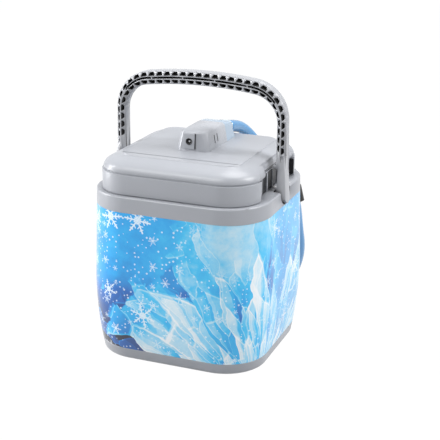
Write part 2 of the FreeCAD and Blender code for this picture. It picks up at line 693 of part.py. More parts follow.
def notch_ribs(low_z, high_z):
    """Upright ribs on the back wall of each notch."""
    ribs = []
    for index in range(RIB_COUNT):
        y = (index - (RIB_COUNT - 1) / 2) * RIB_PITCH
        rib = box_between(V(NOTCH_WALL_X - OVERCUT / 2, y - RIB_THICKNESS / 2, low_z),
                          V(NOTCH_WALL_X + RIB_STAND, y + RIB_THICKNESS / 2, high_z))
        ribs += [rib, mirrored(rib)]
    return ribs


def notch_recesses():
    """Shallow upright recess in the rear end of each notch."""
    low = V(NOTCH_WALL_X + RECESS_MARGIN, NOTCH_HALF_LENGTH - OVERCUT, RIM_Z + RECESS_LOW)
    high = V(low.x + RECESS_WIDTH, NOTCH_HALF_LENGTH + RECESS_DEPTH, low.z + RECESS_HEIGHT)
    return both_sides(box_between(low, high))


def band_form(inset, low_z, high_z):
    """The lid's upright lower band as a solid."""
    outline = rounded_rectangle(LID_HALF_X - inset, LID_HALF_Y - inset, LID_CORNER - inset, low_z)
    return prism(outline, high_z - low_z)


def lid_base():
    """Lower half of the lid: band, floor, notch walls and ribs."""
    bottom_z = RIM_Z + LID_RIM_GAP
    notch = notch_form(0)
    outer = band_form(0, bottom_z, PARTING_Z).cut(notch)
    cavity = band_form(LID_WALL, LID_FLOOR_Z + LID_WALL, PARTING_Z).cut(notch_form(LID_WALL))
    under = rounded_rectangle(plug_half_x() + GASKET_WIDTH, plug_half_y() + GASKET_WIDTH,
                              plug_corner() + GASKET_WIDTH, RIM_Z - OVERCUT)
    recess = prism(under, LID_FLOOR_Z - RIM_Z + OVERCUT)
    base = outer.cut(cavity).cut(recess)
    base = base.fuse(notch_ribs(bottom_z, PARTING_Z)).cut([lid_passages(), notch_recesses()])
    return base.removeSplitter()


def dome_form(inset):
    """The dome's solid form above the parting line, moved inwards by an inset."""
    wires = []
    for rise, edge_inset, corner in DOME_LEVELS:
        total = edge_inset + inset
        wires.append(rounded_rectangle(LID_HALF_X - total, LID_HALF_Y - total,
                                       max(corner - inset, DOME_LEAST_CORNER), PARTING_Z + rise - inset))
    return Part.makeLoft(wires, True, True)


def lid_cover():
    """Domed upper half of the lid, with the lip that it snaps into the base by."""
    low_z = PARTING_Z + PARTING_GAP
    notch = notch_form(0)
    outer = dome_form(0).cut(notch)
    cavity = dome_form(LID_WALL).cut(notch_form(LID_WALL))
    dome = outer.common(slab(low_z, LID_TOP_Z + OVERCUT)).cut(cavity)
    lip = band_form(PARTING_DEPTH, PARTING_Z, low_z).cut(notch_form(PARTING_DEPTH))
    lip = lip.cut(band_form(LID_WALL, PARTING_Z, low_z).cut(notch_form(LID_WALL)))
    return dome.fuse(lip).cut([lid_passages(), housing_screws()]).removeSplitter()


def plug_half_x():
    """Half width of the lid's plug."""
    return RESERVOIR_HALF_X - PLUG_CLEARANCE


def plug_half_y():
    """Half depth of the lid's plug."""
    return RESERVOIR_HALF_Y - PLUG_CLEARANCE


def plug_corner():
    """Corner radius of the lid's plug."""
    return RESERVOIR_CORNER - PLUG_CLEARANCE


def lid_plug():
    """White tray under the lid that enters the rim, with holes for the stem and return tube."""
    draft = RESERVOIR_DRAFT * (RIM_Z - PLUG_BOTTOM_Z) / (RIM_Z - RESERVOIR_FLOOR_Z)
    forms = []
    for wall, bottom in ((0, PLUG_BOTTOM_Z), (PLUG_WALL, PLUG_BOTTOM_Z + PLUG_WALL)):
        low = rounded_rectangle(plug_half_x() - draft - wall, plug_half_y() - draft - wall,
                                plug_corner() - draft - wall, bottom)
        high = rounded_rectangle(plug_half_x() - wall, plug_half_y() - wall,
                                 plug_corner() - wall, LID_FLOOR_Z)
        forms.append(Part.makeLoft([low, high], True, True))
    tray = forms[0].cut(forms[1])
    return tray.cut(tube_holes())


def lid_gasket():
    """Seal ring between the lid and the rim."""
    rings = []
    for width in (GASKET_WIDTH, 0):
        outline = rounded_rectangle(plug_half_x() + width, plug_half_y() + width,
                                    plug_corner() + width, RIM_Z)
        rings.append(prism(outline, LID_FLOOR_Z - RIM_Z))
    return rings[0].cut(rings[1])


def lid_foam():
    """Insulation that fills the lid's lower half."""
    inset = LID_WALL + FOAM_GAP
    block = band_form(inset, LID_FLOOR_Z + LID_WALL, PARTING_Z).cut(notch_form(inset))
    return block.cut(tube_holes())


# ---- pump housing ----
def housing_form(inset):
    """The housing's tapered block with chamfered uprights and a top that curves down to the rear."""
    centre_y = (HOUSING_FRONT_Y + HOUSING_REAR_Y) / 2
    half_y = (HOUSING_REAR_Y - HOUSING_FRONT_Y) / 2
    shift = (HOUSING_DRAFT_FRONT - HOUSING_DRAFT_REAR) / 2
    squeeze = (HOUSING_DRAFT_FRONT + HOUSING_DRAFT_REAR) / 2
    sections = []
    for z, share in ((LID_TOP_Z, 0.0), (HOUSING_TOP_Z, 1.0)):
        half_x = HOUSING_HALF_X - HOUSING_DRAFT_X * share - inset
        half_long = half_y - squeeze * share - inset
        middle_y = centre_y + shift * share
        cut = HOUSING_CORNER - inset / 2
        points = []
        for sx, sy in ((1, -1), (1, 1), (-1, 1), (-1, -1)):
            near_x = V(HOUSING_X + sx * (half_x - cut), middle_y + sy * half_long, z)
            near_y = V(HOUSING_X + sx * half_x, middle_y + sy * (half_long - cut), z)
            points += [near_x, near_y] if sx * sy < 0 else [near_y, near_x]
        sections.append(Part.makePolygon(points + points[:1]))
    block = Part.makeLoft(sections, True, True)
    front = V(HOUSING_X - HOUSING_HALF_X, HOUSING_FRONT_Y, HOUSING_TOP_Z - inset)
    middle = V(front.x, centre_y, HOUSING_TOP_Z - inset)
    rear = V(front.x, HOUSING_REAR_Y, HOUSING_REAR_Z - inset)
    base_front = V(front.x, front.y, LID_TOP_Z)
    base_rear = V(front.x, rear.y, LID_TOP_Z)
    bow = V(front.x, (middle.y + rear.y) / 2, rear.z + (middle.z - rear.z) * HOUSING_BOW)
    edges = [Part.LineSegment(base_front, front).toShape(), Part.LineSegment(front, middle).toShape(),
             Part.Arc(middle, bow, rear).toShape(), Part.LineSegment(rear, base_rear).toShape(),
             Part.LineSegment(base_rear, base_front).toShape()]
    side = Part.Face(Part.Wire(edges)).extrude(ALONG_X * (2 * HOUSING_HALF_X))
    return block.common(side)


def jack_plate_form(clearance):
    """The jack plate's block, grown by a clearance."""
    low = V(JACK_X - JACK_PLATE_HALF_X - clearance, HOUSING_FRONT_Y - JACK_PLATE_STAND,
            JACK_PLATE_LOW_Z - clearance)
    high = V(JACK_X + JACK_PLATE_HALF_X + clearance, HOUSING_FRONT_Y + JACK_PLATE_DEPTH,
             JACK_PLATE_HIGH_Z + clearance)
    return box_between(low, high)


def jack_barrel(radius, start_y, length):
    """A round bar along the power jack's axis."""
    start = V(JACK_X, start_y, JACK_Z)
    return cylinder(radius, start, start + ALONG_Y * length)


def gland_axis():
    """The gland's axis as a vector from its inner end to the hose's exit, in line with the hose."""
    run = HOSE_ROUTE[1] - HOSE_EXIT
    return run * (GLAND_LENGTH / run.Length)


def gland_bar():
    """The gland's tapered bar from inside the housing to the hose's exit."""
    start = HOSE_EXIT - gland_axis()
    return Part.makeCone(GLAND_RADIUS, GLAND_TIP_RADIUS, GLAND_LENGTH, start, gland_axis())


def pump_housing():
    """Cover of the hose and wire connections on the lid."""
    block = housing_form(0)
    top_edges = edges_at(block, lambda point: point.z > HOUSING_REAR_Z - HOUSING_TOP_MARGIN)
    block = block.makeChamfer(HOUSING_TOP_BLEND, top_edges)
    shell = block.cut(housing_form(HOUSING_WALL))
    vents = []
    for index in range(VENT_COUNT):
        y = VENT_FIRST_Y + index * VENT_PITCH
        vents.append(box_between(V(HOUSING_X, y - VENT_WIDTH / 2, VENT_LOW_Z),
                                 V(HOUSING_X + HOUSING_HALF_X, y + VENT_WIDTH / 2, VENT_HIGH_Z)))
    shell = shell.cut(vents + [jack_plate_form(0), gland_bar()])
    bosses = []
    for x, y in housing_screw_places():
        bosses.append(cylinder(SCREW_HEAD_RADIUS, V(x, y, LID_TOP_Z),
                               V(x, y, HOUSING_REAR_Z - HOUSING_WALL)))
    return shell.fuse(bosses).cut(housing_screws()).removeSplitter()


def housing_screw_places():
    """Places of the four screws that hold the housing."""
    return [(HOUSING_X + side * HOUSING_SCREW_X, y) for side in SIDES for y in HOUSING_SCREW_Y]


def housing_screws():
    """Four screws through the lid's cover into the housing."""
    screws = []
    for x, y in housing_screw_places():
        seat = V(x, y, LID_TOP_Z - LID_WALL)
        shank = cylinder(SCREW_RADIUS, seat, seat + UP * HOUSING_SCREW_LENGTH)
        head = cylinder(SCREW_HEAD_RADIUS, seat - UP * SCREW_HEAD_HEIGHT, seat)
        screws.append(shank.fuse(head))
    return Part.makeCompound(screws)


def jack_plate():
    """Plate in the housing's front that carries the power jack."""
    plate = jack_plate_form(0)
    upright = edges_at(plate, lambda point: abs(point.y - HOUSING_FRONT_Y + JACK_PLATE_STAND) < TOUCH)
    plate = plate.makeFillet(JACK_PLATE_STAND / 2, upright)
    return plate.cut(jack_barrel(JACK_RADIUS, HOUSING_FRONT_Y - OVERCUT, JACK_DEPTH + OVERCUT))


def dc_jack():
    """Black power socket, open to the front."""
    front = HOUSING_FRONT_Y - JACK_PLATE_STAND - JACK_STAND
    body = jack_barrel(JACK_RADIUS, front, JACK_DEPTH)
    body = body.cut(jack_barrel(JACK_BORE_RADIUS, front, JACK_DEPTH - JACK_FLOOR))
    return body.cut(jack_pin())


def jack_pin():
    """Centre pin of the power socket."""
    front = HOUSING_FRONT_Y - JACK_PLATE_STAND - JACK_STAND
    return jack_barrel(JACK_PIN_RADIUS, front + JACK_FLOOR, JACK_DEPTH - 3 * JACK_FLOOR / 2)


# ---- hose ----
def hose_gland():
    """Translucent collar that the hose leaves the housing through."""
    start = HOSE_EXIT - gland_axis()
    bore = cylinder(SUPPLY_RADIUS, start, start + gland_axis() * GLAND_BORE_SHARE)
    return gland_bar().cut(bore)


def route_edges(points):
    """Straight runs joined by tangent arcs, with the arcs' radii; edges alternate run, arc, run."""
    edges = []
    radii = []
    start = points[0]
    for before, corner, after in zip(points, points[1:], points[2:]):
        back = before - corner
        ahead = after - corner
        run = min(back.Length, ahead.Length) * BEND_SHARE
        back = back / back.Length
        ahead = ahead / ahead.Length
        turn = math.pi - back.getAngle(ahead)
        radius = run / math.tan(turn / 2)
        radii.append(radius)
        entry, leave = corner + back * run, corner + ahead * run
        bisector = (back + ahead) / (back + ahead).Length
        middle = corner + bisector * (radius / math.cos(turn / 2) - radius)
        edges.append(Part.LineSegment(start, entry).toShape())
        edges.append(Part.Arc(entry, middle, leave).toShape())
        start = leave
    edges.append(Part.LineSegment(start, points[-1]).toShape())
    return edges, radii


def hose_tube(edges, radii, name):
    """The hose along some edges of its route; it prints the bend radii and the length."""
    path = Part.Wire(edges)
    first = edges[0]
    start = first.valueAt(first.FirstParameter)
    disc = Part.Wire(Part.makeCircle(HOSE_RADIUS, start, first.tangentAt(first.FirstParameter)))
    tube = path.makePipeShell([disc], True, False)
    expected = math.pi * HOSE_RADIUS ** 2 * path.Length
    print(f"{name}: length {path.Length:.1f}, radii {[round(r) for r in radii]}, "
          f"volume {tube.Volume / expected:.4f} of section times length")
    return tube


def hose_upper():
    """Hose from the gland over the lid's rear edge; it rides with the lid."""
    edges, radii = route_edges(HOSE_ROUTE)
    return hose_tube(edges[:2 * LID_CORNERS + 1], radii[:LID_CORNERS], "hose_upper")


def hose_lower():
    """Hose from behind the lid through the clip to the floor and the coil."""
    edges, radii = route_edges(HOSE_ROUTE)
    return hose_tube(edges[2 * LID_CORNERS + 1:], radii[LID_CORNERS:], "hose_lower")


def hose_coil():
    """Outer shape of the put away turns, flat on the floor, with the tail that rises to the coupling."""
    hub = V(COIL_CENTRE[0], COIL_CENTRE[1], 0)
    outer = COIL_OUTER_RADIUS + HOSE_RADIUS
    inner = COIL_OUTER_RADIUS - 2 * HOSE_RADIUS * COIL_TURNS - HOSE_RADIUS
    ring = Part.makeCylinder(outer, 2 * HOSE_RADIUS, hub)
    ring = ring.cut(Part.makeCylinder(inner, 2 * HOSE_RADIUS, hub))
    edges, radii = route_edges(TAIL_ROUTE)
    return ring.fuse(hose_tube(edges, radii, "hose_coil's tail"))


def coupling_point(x, y, z):
    """A point from the coupling's near end: x along it away from the hose, z from its underside."""
    end = TAIL_ROUTE[-1]
    return V(end.x - x, end.y - y, end.z - COUPLING_HEIGHT / 2 + z)


def coupling_box(half_width, near_x, far_x, low_z, high_z):
    """A box in the coupling's own directions."""
    return box_between(coupling_point(far_x, half_width, low_z),
                       coupling_point(near_x, -half_width, high_z))


def hose_coupling():
    """Pad coupling at the hose's end, with two sockets and a well for its button."""
    body = coupling_box(COUPLING_WIDTH / 2, 0, COUPLING_LENGTH, 0, COUPLING_HEIGHT)
    side = coupling_point(0, COUPLING_WIDTH / 2, 0).y
    other = coupling_point(0, -COUPLING_WIDTH / 2, 0).y
    body = body.makeFillet(COUPLING_EDGE, edges_at(
        body, lambda point: min(abs(point.y - side), abs(point.y - other)) < TOUCH))
    sockets = []
    for sign in SIDES:
        mouth_y = sign * COUPLING_BORE_SPACING / 2
        sockets.append(cylinder(
            COUPLING_BORE_RADIUS,
            coupling_point(COUPLING_LENGTH - COUPLING_BORE_DEPTH, mouth_y, COUPLING_HEIGHT / 2),
            coupling_point(COUPLING_LENGTH + OVERCUT, mouth_y, COUPLING_HEIGHT / 2)))
    near_x = (COUPLING_LENGTH - BUTTON_LENGTH) / 2 - BUTTON_CLEARANCE
    well = coupling_box(BUTTON_WIDTH / 2 + BUTTON_CLEARANCE, near_x, COUPLING_LENGTH - near_x,
                        COUPLING_HEIGHT - BUTTON_SKIRT - BUTTON_TRAVEL - BUTTON_CLEARANCE,
                        COUPLING_HEIGHT + OVERCUT)
    return body.cut(sockets + [well])


def coupling_button():
    """Thumb latch of the coupling, sunk in its well."""
    near_x = (COUPLING_LENGTH - BUTTON_LENGTH) / 2
    button = coupling_box(BUTTON_WIDTH / 2, near_x, COUPLING_LENGTH - near_x,
                          COUPLING_HEIGHT - BUTTON_SKIRT, COUPLING_HEIGHT + BUTTON_STAND)
    top = coupling_point(0, 0, COUPLING_HEIGHT + BUTTON_STAND).z
    rim = edges_at(button, lambda point: abs(point.z - top) < TOUCH)
    return button.makeFillet(BUTTON_STAND / 3, rim)


# ---- pump under the lid ----
def pump_point(z, offset=V(0, 0, 0)):
    """A point on the pump's axis, or beside it."""
    return V(offset.x, PUMP_Y + offset.y, z)


def tube_holes():
    """Holes that the stem and the return tube pass through the lid's inner parts by."""
    stem = cylinder(STEM_RADIUS, pump_point(PLUG_BOTTOM_Z - OVERCUT), pump_point(LID_TOP_Z))
    back = cylinder(SUPPLY_RADIUS, pump_point(PLUG_BOTTOM_Z - OVERCUT, V(RETURN_OFFSET_X, 0, 0)),
                    pump_point(LID_TOP_Z, V(RETURN_OFFSET_X, 0, 0)))
    return stem.fuse(back)


def lid_passages():
    """Room for the water tubes and the wires where they pass the lid's floor and cover."""
    supply = cylinder(SUPPLY_RADIUS, pump_point(PLUG_BOTTOM_Z, SUPPLY_OFFSET),
                      pump_point(LID_TOP_Z + LEAD_RISE, SUPPLY_OFFSET))
    lead = cylinder(LEAD_RADIUS, pump_point(PLUG_BOTTOM_Z, LEAD_OFFSET),
                    pump_point(LID_TOP_Z + LEAD_RISE, LEAD_OFFSET))
    back = cylinder(SUPPLY_RADIUS, pump_point(PLUG_BOTTOM_Z, V(RETURN_OFFSET_X, 0, 0)),
                    pump_point(PARTING_Z, V(RETURN_OFFSET_X, 0, 0)))
    return Part.makeCompound([supply, lead, back])


def pump_stem():
    """Tube that hangs the pump from the lid; the water tube and wires run inside it."""
    low, high = pump_point(MOTOR_TOP_Z), pump_point(LID_FLOOR_Z)
    return cylinder(STEM_RADIUS, low, high).cut(cylinder(STEM_RADIUS - STEM_WALL, low, high))


def pump_motor():
    """Sealed motor can with the bore that its shaft turns in."""
    can = cylinder(MOTOR_RADIUS, pump_point(CASING_TOP_Z), pump_point(MOTOR_TOP_Z))
    rim = edges_at(can, lambda point: abs(point.z - MOTOR_TOP_Z) < TOUCH)
    can = can.makeFillet(STEM_WALL, rim)
    bore = cylinder(SHAFT_RADIUS + SHAFT_CLEARANCE, pump_point(CASING_TOP_Z - OVERCUT),
                    pump_point(CASING_TOP_Z + SHAFT_DEPTH_IN_MOTOR + SHAFT_CLEARANCE))
    return can.cut([bore, supply_tube()])


def pump_casing():
    """Volute that the impeller turns in, with its intake below and outlet beside the motor."""
    body = cylinder(CASING_RADIUS, pump_point(CASING_BOTTOM_Z), pump_point(CASING_TOP_Z))
    room = cylinder(CASING_RADIUS - CASING_WALL - IMPELLER_GAP,
                    pump_point(CASING_BOTTOM_Z + CASING_WALL),
                    pump_point(CASING_TOP_Z))
    intake = cylinder(INTAKE_RADIUS, pump_point(CASING_BOTTOM_Z - OVERCUT), pump_point(CASING_TOP_Z))
    return body.cut([room, intake, casing_screws()])


def casing_screws():
    """Screws that hold the volute up to the motor."""
    screws = []
    for index in range(CASING_SCREW_COUNT):
        angle = 2 * math.pi * index / CASING_SCREW_COUNT
        reach = CASING_RADIUS - SCREW_RADIUS - CASING_WALL / 4
        offset = V(math.cos(angle), math.sin(angle), 0) * reach
        screws.append(cylinder(SCREW_RADIUS / 2, pump_point(CASING_BOTTOM_Z, offset),
                               pump_point(CASING_TOP_Z, offset)))
    return Part.makeCompound(screws)


def intake_strainer():
    """Slotted cup under the volute that keeps ice out."""
    low, high = pump_point(STRAINER_BOTTOM_Z), pump_point(CASING_BOTTOM_Z)
    cup = cylinder(STRAINER_RADIUS, low, high)
    cup = cup.cut(cylinder(STRAINER_RADIUS - CASING_WALL, low + UP * CASING_WALL, high))
    slots = []
    for index in range(STRAINER_SLOTS // 2):
        slot = box_between(V(-STRAINER_RADIUS - OVERCUT, -STRAINER_SLOT_WIDTH / 2, low.z + CASING_WALL),
                           V(STRAINER_RADIUS + OVERCUT, STRAINER_SLOT_WIDTH / 2, high.z - CASING_WALL))
        slot.rotate(V(0, 0, 0), UP, 360.0 * index / STRAINER_SLOTS)
        slot.translate(V(0, PUMP_Y, 0))
        slots.append(slot)
    return cup.cut(slots)


def impeller_floor_z():
    """Height of the underside of the impeller's disc."""
    return CASING_TOP_Z - IMPELLER_GAP - IMPELLER_THICKNESS


def impeller():
    """Vaned wheel, with its vanes towards the intake."""
    disc = cylinder(IMPELLER_RADIUS, pump_point(impeller_floor_z()),
                    pump_point(impeller_floor_z() + IMPELLER_THICKNESS))
    hub = cylinder(HUB_RADIUS, pump_point(impeller_floor_z() - VANE_HEIGHT),
                   pump_point(impeller_floor_z() + IMPELLER_THICKNESS))
    vanes = []
    for index in range(VANE_COUNT):
        inner = V(HUB_RADIUS - VANE_INSET, 0, 0)
        outer = V(IMPELLER_RADIUS - VANE_INSET, IMPELLER_RADIUS / 3, 0)
        bow = (inner + outer) / 2 - V(0, VANE_THICKNESS * 1.5, 0)
        step = V(0, VANE_THICKNESS, 0)
        edges = [Part.Arc(inner, bow, outer).toShape(), Part.LineSegment(outer, outer + step).toShape(),
                 Part.Arc(outer + step, bow + step, inner + step).toShape(),
                 Part.LineSegment(inner + step, inner).toShape()]
        vane = Part.Face(Part.Wire(edges)).extrude(UP * VANE_HEIGHT)
        vane.translate(pump_point(impeller_floor_z() - VANE_HEIGHT))
        vane.rotate(pump_point(0), UP, 360.0 * index / VANE_COUNT)
        reach = cylinder(IMPELLER_RADIUS, pump_point(CASING_BOTTOM_Z), pump_point(CASING_TOP_Z))
        vanes.append(vane.common(reach))
    return disc.fuse([hub] + vanes).cut(motor_shaft()).removeSplitter()


def motor_shaft():
    """Shaft of the motor, pressed into the impeller."""
    return cylinder(SHAFT_RADIUS, pump_point(impeller_floor_z() - VANE_HEIGHT + IMPELLER_THICKNESS),
                    pump_point(CASING_TOP_Z + SHAFT_DEPTH_IN_MOTOR))


def supply_tube():
    """Water tube from the volute up through the stem into the housing."""
    return cylinder(SUPPLY_RADIUS, pump_point(CASING_TOP_Z, SUPPLY_OFFSET),
                    pump_point(LID_TOP_Z + LEAD_RISE, SUPPLY_OFFSET))


def return_tube():
    """Tube that lets the returning water back into the reservoir."""
    offset = V(RETURN_OFFSET_X, 0, 0)
    low, high = pump_point(RETURN_BOTTOM_Z, offset), pump_point(PARTING_Z, offset)
    return cylinder(SUPPLY_RADIUS, low, high).cut(
        cylinder(SUPPLY_RADIUS / 2, low, high))


def motor_lead():
    """Sheathed supply wires from the motor up the stem."""
    return cylinder(LEAD_RADIUS, pump_point(MOTOR_TOP_Z, LEAD_OFFSET),
                    pump_point(LID_TOP_Z + LEAD_RISE, LEAD_OFFSET))


PIECES = (
    printed_sleeve, outer_shell, base_trim, foam_insulation, inner_liner, collar, pivot_pins,
    hose_clip, clip_screws, hose_lower, hose_coil, hose_coupling, coupling_button, bail_handle,
    lid_base, lid_cover, lid_foam, lid_plug, lid_gasket, pump_housing, housing_screws, jack_plate, dc_jack,
    jack_pin, hose_gland, hose_upper, pump_stem, pump_motor, pump_casing, casing_screws, intake_strainer,
    impeller, motor_shaft, supply_tube, return_tube, motor_lead,
)


def main():
    """Builds and writes every piece."""
    os.makedirs("parts", exist_ok=True)
    for piece in PIECES:
        piece().exportStep(f"parts/{piece.__name__}.step")


main()
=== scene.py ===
"""Looks of a hot and cold therapy machine: insulated bucket, lid with the pump housing, bail and hose.

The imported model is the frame, in metres, +Z up and the front at -Y. Each sub-assembly is a class that
holds its sizes, builds the pieces that need a finer form than their solids, and dresses the others.
"""

import json
import logging
import math
from dataclasses import dataclass, field
from enum import Enum
from typing import Iterable, Optional, Sequence, Union

import bmesh
import bpy
from mathutils import Matrix, Quaternion, Vector
from mathutils.geometry import interpolate_bezier

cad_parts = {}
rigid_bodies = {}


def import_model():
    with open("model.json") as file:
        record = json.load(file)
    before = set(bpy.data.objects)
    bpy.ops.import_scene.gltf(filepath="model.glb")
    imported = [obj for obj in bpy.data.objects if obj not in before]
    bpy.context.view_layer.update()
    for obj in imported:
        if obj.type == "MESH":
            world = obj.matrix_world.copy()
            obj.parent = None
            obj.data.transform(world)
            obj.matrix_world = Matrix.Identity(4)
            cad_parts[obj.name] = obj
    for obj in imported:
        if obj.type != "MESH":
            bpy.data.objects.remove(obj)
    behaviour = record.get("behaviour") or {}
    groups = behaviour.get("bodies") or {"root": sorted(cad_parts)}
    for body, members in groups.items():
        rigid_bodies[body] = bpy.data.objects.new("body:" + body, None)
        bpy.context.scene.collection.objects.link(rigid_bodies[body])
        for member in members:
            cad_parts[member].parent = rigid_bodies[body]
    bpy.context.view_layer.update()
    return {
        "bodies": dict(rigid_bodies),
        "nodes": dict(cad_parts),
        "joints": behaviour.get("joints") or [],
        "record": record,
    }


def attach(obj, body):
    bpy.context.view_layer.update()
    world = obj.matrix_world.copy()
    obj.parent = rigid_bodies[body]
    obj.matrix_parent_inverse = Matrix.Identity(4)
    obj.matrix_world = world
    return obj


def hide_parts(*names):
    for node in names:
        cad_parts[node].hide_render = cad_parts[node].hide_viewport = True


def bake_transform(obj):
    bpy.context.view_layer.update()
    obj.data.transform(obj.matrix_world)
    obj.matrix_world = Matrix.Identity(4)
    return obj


LOG = logging.getLogger("therapy_machine")
MM = 0.001
Triple = tuple[float, float, float]
Mesh = bmesh.types.BMesh
Material = bpy.types.Material
Piece = bpy.types.Object


# ---- shader maths ----
class Signal:
    """An output socket of a node tree, with arithmetic that adds Math nodes."""

    def __init__(self, tree: "Tree", socket: bpy.types.NodeSocket) -> None:
        """Wraps an output socket of a tree."""
        self.tree = tree
        self.socket = socket

    def __add__(self, other: "Value") -> "Signal":
        """Sum of two values."""
        return self.tree.maths("ADD", self, other)

    __radd__ = __add__

    def __sub__(self, other: "Value") -> "Signal":
        """Difference of two values."""
        return self.tree.maths("SUBTRACT", self, other)

    def __rsub__(self, other: "Value") -> "Signal":
        """Difference with this value as the second term."""
        return self.tree.maths("SUBTRACT", other, self)

    def __mul__(self, other: "Value") -> "Signal":
        """Product of two values."""
        return self.tree.maths("MULTIPLY", self, other)

    __rmul__ = __mul__

    def __truediv__(self, other: "Value") -> "Signal":
        """Quotient of two values."""
        return self.tree.maths("DIVIDE", self, other)

    def __rtruediv__(self, other: "Value") -> "Signal":
        """Quotient with this value below the line."""
        return self.tree.maths("DIVIDE", other, self)

    def power(self, exponent: float) -> "Signal":
        """This value raised to a power."""
        return self.tree.maths("POWER", self, exponent)

    def size(self) -> "Signal":
        """This value without its sign."""
        return self.tree.maths("ABSOLUTE", self)

    def most(self, other: "Value") -> "Signal":
        """The greater of two values."""
        return self.tree.maths("MAXIMUM", self, other)

    def within(self, period: float) -> "Signal":
        """The rest after whole periods, never negative."""
        return self.tree.maths("FLOORED_MODULO", self, period)

    def step(self, low: float, high: float) -> "Signal":
        """Smooth step from 0 at low to 1 at high; low may be the larger.

        Args:
            low: Where the step starts.
            high: Where it ends.

        Returns:
            The eased share between the two.
        """
        start, end, first, last = (low, high, 0.0, 1.0) if low < high else (high, low, 1.0, 0.0)
        return self.tree.signal("ShaderNodeMapRange", "Result", {"interpolation_type": "SMOOTHSTEP"},
                                {"Value": self, "From Min": start, "From Max": end,
                                 "To Min": first, "To Max": last})


Value = Union[Signal, float]
Shade = Union[Signal, Triple]


class Tree:
    """A node tree, and the steps that add nodes to it."""

    def __init__(self, tree: bpy.types.NodeTree) -> None:
        """Takes over a node tree and empties it."""
        self.tree = tree
        tree.nodes.clear()

    def feed(self, target: bpy.types.NodeSocket, value: Union[Value, Shade]) -> None:
        """Links a signal to a socket, or sets its value, with full alpha for a colour."""
        if isinstance(value, Signal):
            self.tree.links.new(value.socket, target)
        else:
            target.default_value = (*value, 1.0) if target.type == "RGBA" else value

    def node(self, kind: str, settings: Optional[dict] = None,
             inputs: Optional[dict] = None) -> bpy.types.Node:
        """Adds one node.

        Args:
            kind: The node's type.
            settings: Its properties, or a "stops" list for a colour ramp.
            inputs: Values or signals of its sockets, by name or index.

        Returns:
            The new node.
        """
        made = self.tree.nodes.new(kind)
        for key, value in (settings or {}).items():
            if key == "stops":
                self._set_stops(made.color_ramp, value)
            else:
                setattr(made, key, value)
        for key, value in (inputs or {}).items():
            self.feed(made.inputs[key], value)
        return made

    def signal(self, kind: str, output: Union[str, int], settings: Optional[dict] = None,
               inputs: Optional[dict] = None) -> Signal:
        """Adds a node and gives one of its outputs."""
        return Signal(self, self.node(kind, settings, inputs).outputs[output])

    @staticmethod
    def _set_stops(ramp: bpy.types.ColorRamp, stops: Sequence[tuple[float, Triple]]) -> None:
        """Puts a list of stops on a colour ramp."""
        while len(ramp.elements) < len(stops):
            ramp.elements.new(1.0)
        for element, (place, colour) in zip(ramp.elements, stops):
            element.position = place
            element.color = (*colour, 1.0)

    def maths(self, operation: str, first: Value, second: Value = 0.0) -> Signal:
        """A Math node on two values."""
        return self.signal("ShaderNodeMath", 0, {"operation": operation}, {0: first, 1: second})

    def ray(self, kind: str) -> Signal:
        """1 for rays of a kind, such as Camera."""
        return self.signal("ShaderNodeLightPath", f"Is {kind} Ray")


@dataclass(frozen=True)
class Cells:
    """What a plane's Voronoi cells give at a point."""

    chance: tuple[Signal, Signal, Signal]
    lean: tuple[Signal, Signal]
    edge: Signal


